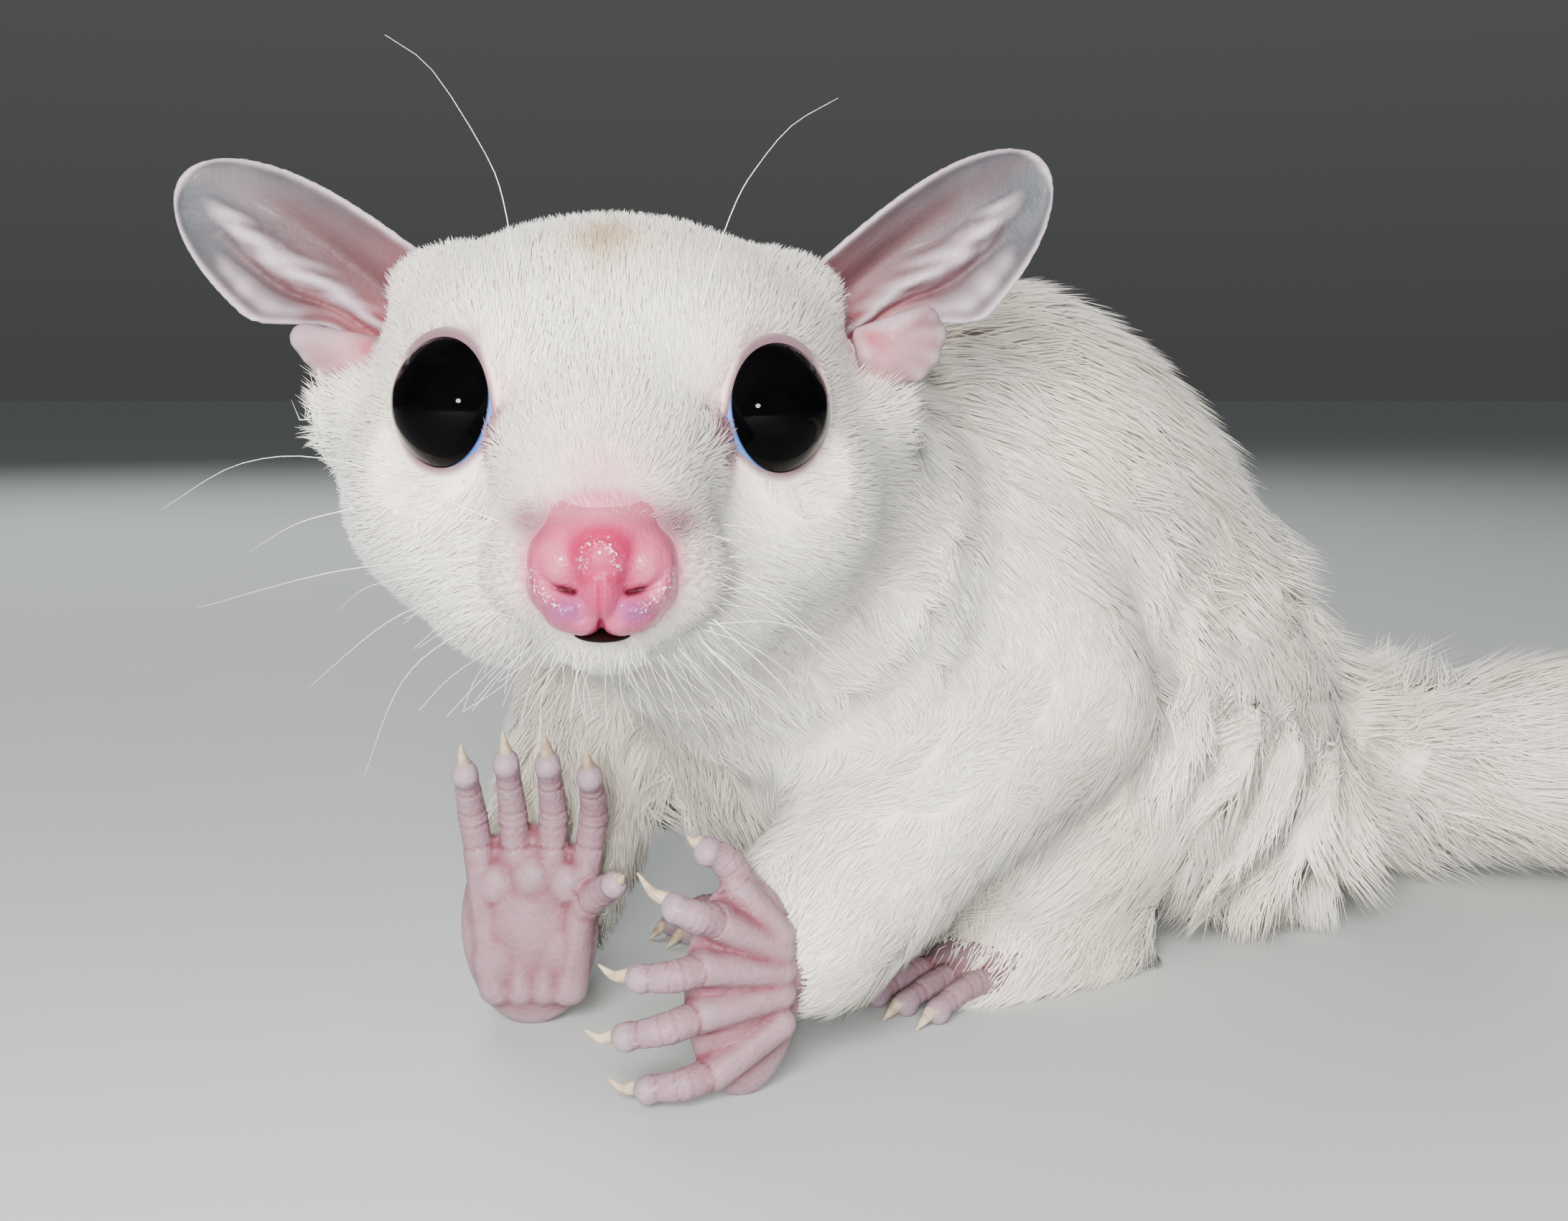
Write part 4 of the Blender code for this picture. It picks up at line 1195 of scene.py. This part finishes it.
def makeEar(side):
    rows, columns = earPlan["rows"], earPlan["columns"]
    s = 1 - (1 - np.linspace(0, 1, rows)) ** 1.35
    v = np.sin(np.linspace(-1, 1, columns) * math.pi / 2)
    sheet = earSurface(s[:, None] + 0 * v, v + 0 * s[:, None], side)
    index = np.arange(rows * columns).reshape(rows, columns)
    a, b, c, d = (part.ravel() for part in (index[:-1, :-1], index[1:, :-1], index[1:, 1:], index[:-1, 1:]))
    faces = np.concatenate([np.stack([a, b, c], axis=1), np.stack([a, c, d], axis=1)])
    leaf = meshPiece("leaf", sheet.reshape(-1, 3), faces)
    bm = bmesh.new()
    bm.from_mesh(modified(leaf, "SOLIDIFY", thickness=earPlan["thickness"], offset=0.0))
    canal = np.array(earLobes[side]["canal"])
    for x, z in earLobes[side]["edge"]:
        edge = np.array((x, 11.8, z))
        end = edge + unit(canal - edge) * 1.1
        middle = 0.45 * canal + 0.55 * end - np.array((0, 0.7, 0))
        addChain(bm, [(*canal, 0.6), (*middle, 0.85), (*end, 1.05)])
    points, triangles = blendedForm("ear", bm, earPlan["voxel"], 7)
    lobeMiddle = canal * 0.5 + np.array((side * 11.0, 5.7, 0.9))
    lobe = np.clip(1.7 * blob(points, lobeMiddle, (2.7, 3.0, 2.3)), 0, 1)
    points = soften(points, edgesOf(triangles), 12, 0.85 * lobe)

    lift, length = earLifts[side]
    local = (points - earPlace(side)) @ turnOf(0, -side * lift, side * earPlan["turn"])
    s = np.clip((side * local[:, 0] + 4) / length, 0, 1)
    v = local[:, 2] / np.maximum(earHalf(s), 0.5)
    out = (normalsOf(points, triangles) @ turnOf(0, -side * lift, 0))[:, 1]
    facing, back = ramp(0.2, -0.4, out), ramp(0.1, 0.6, out)
    sunk = hollows(points, triangles, 12, 0.05)
    deep = 0.9 * ramp(0.5, 0.05, s) + 0.55 * bell(v, -0.22, 0.22) * ramp(0.85, 0.3, s)
    # In the lobes the deep pink grows in hollows as painted shade; by the canal it is partly the canal's
    # own colour, partly painted shade.
    deep = np.clip(deep, 0, 1) * (1 - 0.7 * lobe) + lobe * (0.42 + 0.6 * np.maximum(sunk, 0))
    inner = 0.9 * ramp(20.8, 16.6, np.abs(points[:, 0])) * ramp(7.5, 6.0, points[:, 2])
    deep = np.maximum(deep, inner)
    flush = np.clip(0.5 * ramp(0.9, 0.35, s) + 0.35 * bell(v, 0.45, 0.3), 0, 1) * (1 - lobe)
    # Painted shade: darker in hollows, along the valley under the upper edge and in the groove below the
    # ridge.
    dark = 0.4 * np.maximum(sunk, 0) + 0.45 * bell(v, 0.45, 0.18) + 0.4 * bell(v + 0.22 * s + 0.25, 0, 0.07)
    dark = np.clip(dark * ramp(0.95, 0.5, s), 0, 1) * (1 - 0.6 * lobe)
    ridge = bell(v - 0.02 + 0.22 * s, 0, 0.25) * ramp(0.95, 0.75, s) * ramp(0.1, 0.4, s)
    fold = bell(v, -0.72, 0.2) * ramp(0.36, 0.46, s) * ramp(0.82, 0.6, s)
    rim = ramp(0.88, 0.99, np.abs(v)) * ramp(0.15, 0.4, s) + ramp(0.95, 1.0, s)
    # Paler on the ridge, the fold and the lobes, partly as painted highlight; the thin rim paler as painted
    # light shining through it; less pale in hollows as painted shade.
    pale = np.maximum(0.5 * np.maximum(ridge, fold), 0.3 * lobe * (1 - inner))
    pale = np.clip(pale + 0.6 * rim * (1 - lobe) - 0.5 * sunk, 0, 1)
    name = "ear_leaf_left" if side > 0 else "ear_leaf_right"
    piece = meshPiece(name, fromHead(points), triangles, earMaterial)
    paint(piece.data, "flesh", colourRows(deep * (0.35 + 0.65 * facing) * 0.85, flush * 0.8, dark * facing))
    paint(piece.data, "shine", colourRows(pale * facing + 0.6 * back, 0.4 * ridge * facing))
    return piece


# Hands and feet, in body millimetres: wrist, palm and digits as in the solids, with finer pads.
# The deep and dark colours are painted shade in creases and hollows, and the pale colour is partly painted
# highlight on the finger pads; the glint colour and its dots' strength are painted highlight dots, which no
# paw paints places for.
pawPlan = {
    "base": (0.205, 0.105, 0.125, 1), "other": (0.25, 0.14, 0.165, 1), "deep": (0.17, 0.05, 0.07, 1),
    "flush": (0.24, 0.165, 0.205, 1), "dark": (0.09, 0.025, 0.033, 1), "pale": (0.33, 0.25, 0.295, 1),
    "glint": (0.60, 0.50, 0.55, 1), "glintDots": 0.1,
    "patches": 380.0, "grain": 2300.0, "beads": 1400.0, "bump": 0.9,
    "roughness": 0.45, "soft": 0.15, "wet": 0.1,
    "voxel": 0.2, "keep": 0.5, "floor": 0.02,
    "wrinkles": (0.2, 0.42, 0.5, 0.56, 0.8, 0.86), "wrinkleWidth": 0.016, "wrinkleDepth": 0.11,
}


def leftHandDigits():
    knuckles = [(6.0, 9.8, 12.6), (5.2, 9.2, 9.6), (5.2, 9.4, 6.4), (5.8, 9.8, 2.2)]
    tips = [(3.0, 8.2, 14.0), (0.6, 8.0, 9.2), (-0.4, 8.0, 5.2), (1.0, 8.8, 1.3)]
    digits = []
    for start, end in zip(knuckles, tips):
        x, y, z = (0.5 * (a + b) for a, b in zip(start, end))
        digits.append(([start, (x, y - 1.0, z), end], 2.2, 0.9))
    digits.append(([(7.4, 11.6, 14.4), (6.4, 11.0, 16.2), (5.0, 10.6, 17.2)], 0.9, 0.2))
    return digits


def rightHandDigits():
    digits = []
    for step in range(4):
        x = -12.4 + 2.6 * step
        lean = 0.4 * (step - 1.2)
        top = 19.4 + 1.6 * math.sin(math.pi * (step + 0.6) / 4)
        digits.append(([(x, 25.4, 12.2), (x + lean, 24.6, 16.4), (x + lean, 21.8, top)], 2.1, 0.2))
    digits.append(([(-5.0, 25.0, 9.0), (-3.0, 23.0, 11.0), (-2.0, 21.2, 12.0)], 1.2, 0.2))
    return digits


def footDigits(heel, toes, side):
    low, heel = 1.05, np.array(heel, dtype=float)
    ahead = np.array(toes, dtype=float) - heel
    length = lengths(ahead)
    ahead = ahead / length
    across = np.array((-ahead[1], ahead[0])) * side
    digits = []
    for step in range(4):
        aside = across * (step - 1.5)
        start = heel + ahead * length * 0.62 + aside * 1.9
        end = heel + ahead * (length - 0.6 * abs(step - 1.2)) + aside * 2.9
        middle = (start + end) * 0.5 + aside * 0.2
        digits.append(([(*start, low + 0.5), (*middle, low + 1.0), (*end, low)], 1.7, -0.3))
    start = heel + ahead * length * 0.42 - across * 2.4
    end = heel + ahead * length * 0.62 - across * 6.2
    digits.append(([(*start, low + 0.4), (*end, low)], 0.3, 0.0))
    return digits


# Digits are a line, the claw's length and how far it hooks; rays are the bones of the back.
paws = {
    "hand_left": {
        "root": (10.8, 12.9, 8.0), "spread": (0, 0, 0.5), "pads": [],
        "wrist": [(13.6, 18.2, 10.0, 4.2), (8.4, 12.6, 8.6, 3.0)],
        "palm": ((7.4, 11.4, 7.5), (4.2, 2.0, 7.7), 24.0), "digits": leftHandDigits(),
        "radius": 1.22, "face": (-0.4, -1.0, 0.0), "rays": (2.1, 1.15),
    },
    "hand_right": {
        "root": (-8.9, 25.8, 3.0), "spread": (0.7, 0, 0),
        "pads": [(-11.2, 24.5, 11.0, 1.5, 0.9, 1.6), (-8.6, 24.4, 11.5, 1.5, 0.9, 1.6),
                 (-6.0, 24.5, 11.0, 1.5, 0.9, 1.6), (-11.0, 24.6, 5.2, 2.0, 1.0, 2.8),
                 (-6.7, 24.6, 5.8, 2.0, 1.0, 3.0)],
        "wrist": [(-8.9, 30.6, 7.0, 3.8), (-8.9, 26.6, 7.4, 3.0)],
        "palm": ((-8.9, 25.8, 7.6), (5.2, 2.2, 7.8), 0.0), "digits": rightHandDigits(),
        "radius": 1.22, "face": (0.0, -1.0, 0.0), "rays": (0.8, 1.5),
    },
    "foot_left": {
        "root": (30.0, 37.6, 1.6), "spread": (0.35, 0.35, 0), "pads": [],
        "wrist": [(36, 42.4, 2.6, 3.0), (28, 35.8, 2.2, 2.6)],
        "palm": ((26.4, 34.5, 2.1), (5.6, 4.0, 2.3), 40.0),
        "digits": footDigits((36, 42.4), (18.0, 27.8), 1),
        "radius": 1.12, "face": (0.0, 0.0, -1.0), "rays": (-1.7, 1.2),
    },
    "foot_right": {
        "root": (13.2, 54.2, 1.6), "spread": (0.35, 0.35, 0), "pads": [],
        "wrist": [(18.2, 59.0, 2.6, 3.0), (11.6, 53.0, 2.2, 2.6)],
        "palm": ((10.0, 51.4, 2.1), (5.6, 4.0, 2.3), 40.0),
        "digits": footDigits((18.2, 59.4), (2.4, 44.0), -1),
        "radius": 1.12, "face": (0.0, 0.0, -1.0), "rays": (-1.7, 1.2),
    },
}


def makePaw(name):
    plan = paws[name]
    radius, root = plan["radius"], np.array(plan["root"])
    rayLift, rayRadius = plan["rays"]
    bm = bmesh.new()
    addChain(bm, plan["wrist"])
    centre, radii, turn = plan["palm"]
    addBall(bm, centre, radii, 4, turn)
    claws, padSpots = [], []
    face = np.array(plan["face"])
    for rows, length, hook in plan["digits"]:
        line = smoothPath(rows, 40)
        share = np.linspace(0, 1, 40)
        size = 1.0 - 0.2 * share + 0.09 * bell(share, 0.48, 0.09) + 0.05 * bell(share, 0.1, 0.1)
        for place, factor in zip(line, size):
            addBall(bm, place, (radius * factor,) * 3, 2)
        tip = line[-1]
        way = unit(tip - line[-6])
        addBall(bm, tip - way * 0.35 + face * 0.3, (radius * 0.84,) * 3, 4)
        padSpots.append(tip + face * 0.6)
        start = root + (line[0] - root) * np.array(plan["spread"])
        ray = [(*(start + face * rayLift), rayRadius), (*(line[0] + face * rayLift * 0.3), radius)]
        addChain(bm, ray, 2)
        if length > 0.5:
            reach = radius * 0.45
            hooked = np.array((0, 0, 1.0)) * hook
            base = tip + way * reach + np.array((0, 0, 0.12)) - face * 0.15
            middle = tip + way * (reach + length * 0.5) + hooked * 0.15
            end = tip + way * (reach + length) + hooked
            claws.append(tube(smoothPath([(*base, 0.55), (*middle, 0.36), (*end, 0.07)], 9), 10))
    for x, y, z, *radii in plan["pads"]:
        addBall(bm, (x, y, z), radii, 4)
    points, triangles = blendedForm(name, bm, pawPlan["voxel"], 3)
    normals = normalsOf(points, triangles)
    dip = np.zeros(len(points))
    for rows, _, _ in plan["digits"]:
        gap, along = fromLine(points, rows)
        for at in pawPlan["wrinkles"]:
            dip = np.maximum(dip, (gap < radius * 1.5) * bell(along, at, pawPlan["wrinkleWidth"]))
    points -= normals * (dip * pawPlan["wrinkleDepth"])[:, None]
    points[:, 2] = np.maximum(points[:, 2], pawPlan["floor"])
    whole = meshPiece(name + "_whole", points, triangles)
    points, triangles = shapeOf(modified(whole, "DECIMATE", ratio=pawPlan["keep"]))
    sunk = hollows(points, triangles, 14, 0.09)
    pads = bell(np.min([gapTo(points, spot) for spot in padSpots], axis=0), 0, 1.1)
    piece = meshPiece(name + "_flesh", fromBody(points), triangles, pawMaterial)
    # Painted shade: deeper and darker in creases and hollows; the finger pads violet and paler, the
    # paleness partly painted highlight and held back in hollows as painted shade.
    paint(piece.data, "flesh", colourRows(np.clip(0.9 * sunk, 0, 1), 0.8 * pads, np.clip(sunk - 0.7, 0, 1)))
    paint(piece.data, "shine", colourRows(np.clip(0.5 * pads - 0.4 * sunk, 0, 1)))
    clawPoints, clawFaces = joined(claws)
    clawPoints[:, 2] = np.maximum(clawPoints[:, 2], pawPlan["floor"])
    claw = meshPiece(name + "_claws", fromBody(clawPoints), clawFaces, clawMaterial)
    return piece, claw


def makeClawMaterial():
    material, tree, shader = makeMaterial("horn_claw")
    grain = ranged(tree, noiseOf(tree, 1500.0, 3.0), 0.35, 0.65)
    colour = mix(tree, grain, (0.36, 0.26, 0.17, 1), (0.52, 0.42, 0.31, 1))
    feed(tree, shader, {"Base Color": colour, "Roughness": 0.3})
    return material


# Whiskers, brow hairs and hairs of the chin: fine closed tubes, in head millimetres.
whiskerPlan = {
    "radius": 0.04, "besideRadius": 0.02, "chinRadius": 0.013, "lipRadius": 0.01, "tip": 0.01,
    "chin": 60, "lip": 70, "beside": 16, "seed": 7,
    "colour": (0.80, 0.78, 0.72, 1), "other": (0.9, 0.88, 0.84, 1),
}
whiskerLines = [
    [(-6.7, -11.5, -7.9), (-15.3, -4.9, -9.4), (-25.4, 4.0, -12.7)],
    [(-5.5, -11.5, -6.0), (-14.3, -7.9, -3.1), (-21.1, -1.9, -3.5), (-27.4, 4.0, -6.7)],
    [(-14.1, -6.5, -5.7), (-17.9, -2.9, -6.9), (-22.3, 4.0, -9.3)],
    [(-6.1, -11.5, -9.3), (-12.2, -4.9, -12.1), (-18.8, 4.0, -17.7)],
    [(-5.5, -11.5, -10.6), (-11.4, -4.9, -15.3), (-15.5, 4.0, -23.6)],
    [(-6.3, -11.5, -8.5), (-13.1, -4.9, -10.1), (-16.9, 4.0, -12.8)],
    [(6.1, -11.5, -9.4), (12.9, -4.9, -13.7), (20.8, 4.0, -23.0)],
    [(6.7, -11.5, -7.7), (11.9, -4.9, -8.6), (17.5, 4.0, -10.3)],
    [(5.9, -11.5, -11.1), (10.5, -7.9, -16.0), (12.8, -1.9, -21.5), (13.7, 4.0, -28.6)],
    [(5.7, -11.5, -11.5), (8.4, -4.9, -16.0), (10.1, 4.0, -22.5)],
    [(14.3, -6.5, -6.8), (16.4, -2.9, -7.8), (19.0, 4.0, -9.5)],
    [(-5.0, -2.4, 5.0), (-5.6, -2.4, 8.5), (-6.3, -0.6, 11.8), (-7.3, -0.6, 14.4), (-10.3, -1.0, 19.0),
     (-12.8, -2.0, 20.7)],
    [(5.1, -2.4, 5.2), (6.0, -2.4, 8.8), (7.2, -0.6, 12.1), (8.3, -0.4, 14.0), (10.3, -1.0, 16.4),
     (12.9, -2.0, 17.9)],
]


def makeWhiskers():
    dice = np.random.default_rng(whiskerPlan["seed"])
    parts = []

    def grow(rows, radius):
        line = smoothPath(rows, 16)
        sizes = np.linspace(radius, whiskerPlan["tip"], 16)
        parts.append(tube(np.column_stack([line, sizes]), 5))

    for rows in whiskerLines:
        grow(rows, whiskerPlan["radius"])
    for _ in range(whiskerPlan["chin"]):
        x = dice.uniform(-5.8, 5.8)
        root = np.array((x, -12.9 + 0.09 * x * x, -11.9 - dice.uniform(0, 1.3)))
        out = np.array((x * 0.2 + dice.normal(0, 0.3), -0.3 + dice.normal(0, 0.3), -1.0))
        length = dice.uniform(1.2, 4.4)
        bend = np.array((dice.normal(0, 0.5), -0.6, 0.1))
        end = root + out * length + bend * dice.uniform(-0.8, 0.8)
        grow([root, root + out * length * 0.5 + bend * 0.5, end], whiskerPlan["chinRadius"])
    for _ in range(whiskerPlan["lip"]):
        x = dice.uniform(-2.2, 2.2)
        root = np.array((x, -13.4 + 0.09 * x * x, -11.8 - dice.uniform(0, 0.35)))
        out = np.array((x * 0.15 + dice.normal(0, 0.2), -0.75 + dice.normal(0, 0.25), -0.8))
        length = dice.uniform(0.5, 1.5)
        end = root + out * length - np.array((0, 0, 0.2 * length))
        grow([root, root + out * length * 0.5, end], whiskerPlan["lipRadius"])
    for side in (-1, 1):
        for _ in range(whiskerPlan["beside"]):
            root = np.array((side * dice.uniform(4.4, 6.4), -12.4, dice.uniform(-11.6, -5.6)))
            out = np.array((side * 1.0, dice.uniform(0.1, 0.5), dice.uniform(-0.7, 0.15)))
            length = dice.uniform(2.5, 7.0)
            middle = root + out * length * 0.5 + np.array((0, 0, 0.06 * length))
            end = root + out * length - np.array((0, 0, 0.05 * length))
            grow([root, middle, end], whiskerPlan["besideRadius"])
    points, faces = joined(parts)
    material, tree, shader = makeMaterial("white_whisker")
    colour = mix(tree, noiseOf(tree, 600.0), whiskerPlan["colour"], whiskerPlan["other"])
    feed(tree, shader, {"Base Color": colour, "Roughness": 0.35})
    return meshPiece("whiskers", fromHead(points), faces, material)


nose = makeNose()
mouth = makeMouth()
earMaterial = makeBareMaterial("ear_skin", earPlan)
ears = {side: makeEar(side) for side in (-1, 1)}
print("stage: nose and ears")
pawMaterial = makeBareMaterial("paw_skin", pawPlan)
clawMaterial = makeClawMaterial()
madePaws = {name: makePaw(name) for name in paws}
whiskers = makeWhiskers()
print("stage: hands, feet and whiskers")


# Floor, light and camera
floorPlan = {"size": 4.0, "base": (0.49, 0.52, 0.52, 1), "other": (0.52, 0.55, 0.55, 1)}
bm = bmesh.new()
bmesh.ops.create_grid(bm, x_segments=1, y_segments=1, size=floorPlan["size"])
floor = addObject("floor", meshOf(bm, "floor"))
floorMaterial, tree, shader = makeMaterial("pale_floor")
colour = mix(tree, noiseOf(tree, 40.0, 4.0), floorPlan["base"], floorPlan["other"])
feed(tree, shader, {"Base Color": colour, "Roughness": 0.9})
floor.data.materials.append(floorMaterial)

lamps = {
    "key": {"at": tuple(fromBody((-40.0, -230.0, 130.0))), "size": 0.12, "energy": 2.0,
            "color": (1.0, 0.965, 0.92), "shines": False},
    "glint": {"at": (-0.065, -0.30, 0.075), "size": 0.03, "energy": 0.8,
              "color": (1.0, 1.0, 1.0), "shines": True},
    "fill": {"at": (0.55, -0.35, 0.30), "size": 0.5, "energy": 1.0,
             "color": (0.95, 0.97, 1.0), "shines": False},
    "rim": {"at": (-0.30, 0.50, 0.55), "size": 0.4, "energy": 4.5,
            "color": (1.0, 1.0, 1.0), "shines": False},
}
lampAim = Vector((-0.03, 0.0, 0.03))
for name, plan in lamps.items():
    light = bpy.data.lights.new(name, "AREA")
    light.shape = "DISK"
    light.size, light.energy, light.color = plan["size"], plan["energy"], plan["color"]
    lamp = addObject(name, light)
    lamp.location = plan["at"]
    lamp.visible_glossy = plan["shines"]
    lamp.rotation_euler = (lampAim - lamp.location).to_track_quat("-Z", "Y").to_euler()

world = bpy.data.worlds.new("studio")
bpy.context.scene.world = world
world.use_nodes = True
tree = world.node_tree
direction = addNode(tree, "TexCoord", {}).outputs["Generated"]
height = ranged(tree, addNode(tree, "SeparateXYZ", {"Vector": direction}).outputs["Z"], 0.0, 0.7)
sky = mix(tree, height, (0.25, 0.255, 0.26, 1), (0.60, 0.61, 0.62, 1))
feed(tree, tree.nodes["Background"], {"Color": sky, "Strength": 0.24})

view = {"right": 10.2, "front": -112.3, "height": 48.3, "down": 7.0, "lens": 43.35}
camera = addObject("camera", bpy.data.cameras.new("camera"))
camera.data.sensor_width = 36.0
camera.data.lens = view["lens"]
camera.data.clip_start = 0.001
camera.location = fromBody((view["right"], view["front"], view["height"]))
camera.rotation_euler = (math.radians(90 - view["down"]), 0, 0)
bpy.context.scene.camera = camera

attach(skin, "root")
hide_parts(*fleshNodes)
for piece in coat:
    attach(piece, "root")
for piece, node in zip(eyeballs, ("eye_right", "eye_left")):
    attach(piece, "root")
    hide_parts(node)

for piece, node, slot in (
    (nose, "nose", "bare_skin"), (ears[-1], "ear_right", "bare_skin"), (ears[1], "ear_left", "bare_skin"),
):
    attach(piece, "root")
    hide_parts(node)
for node, (piece, claws) in madePaws.items():
    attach(piece, "root")
    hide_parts(node)
    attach(claws, "root")
for piece, slot in ((mouth, "bare_skin"), (whiskers, "coat")):
    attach(piece, "root")
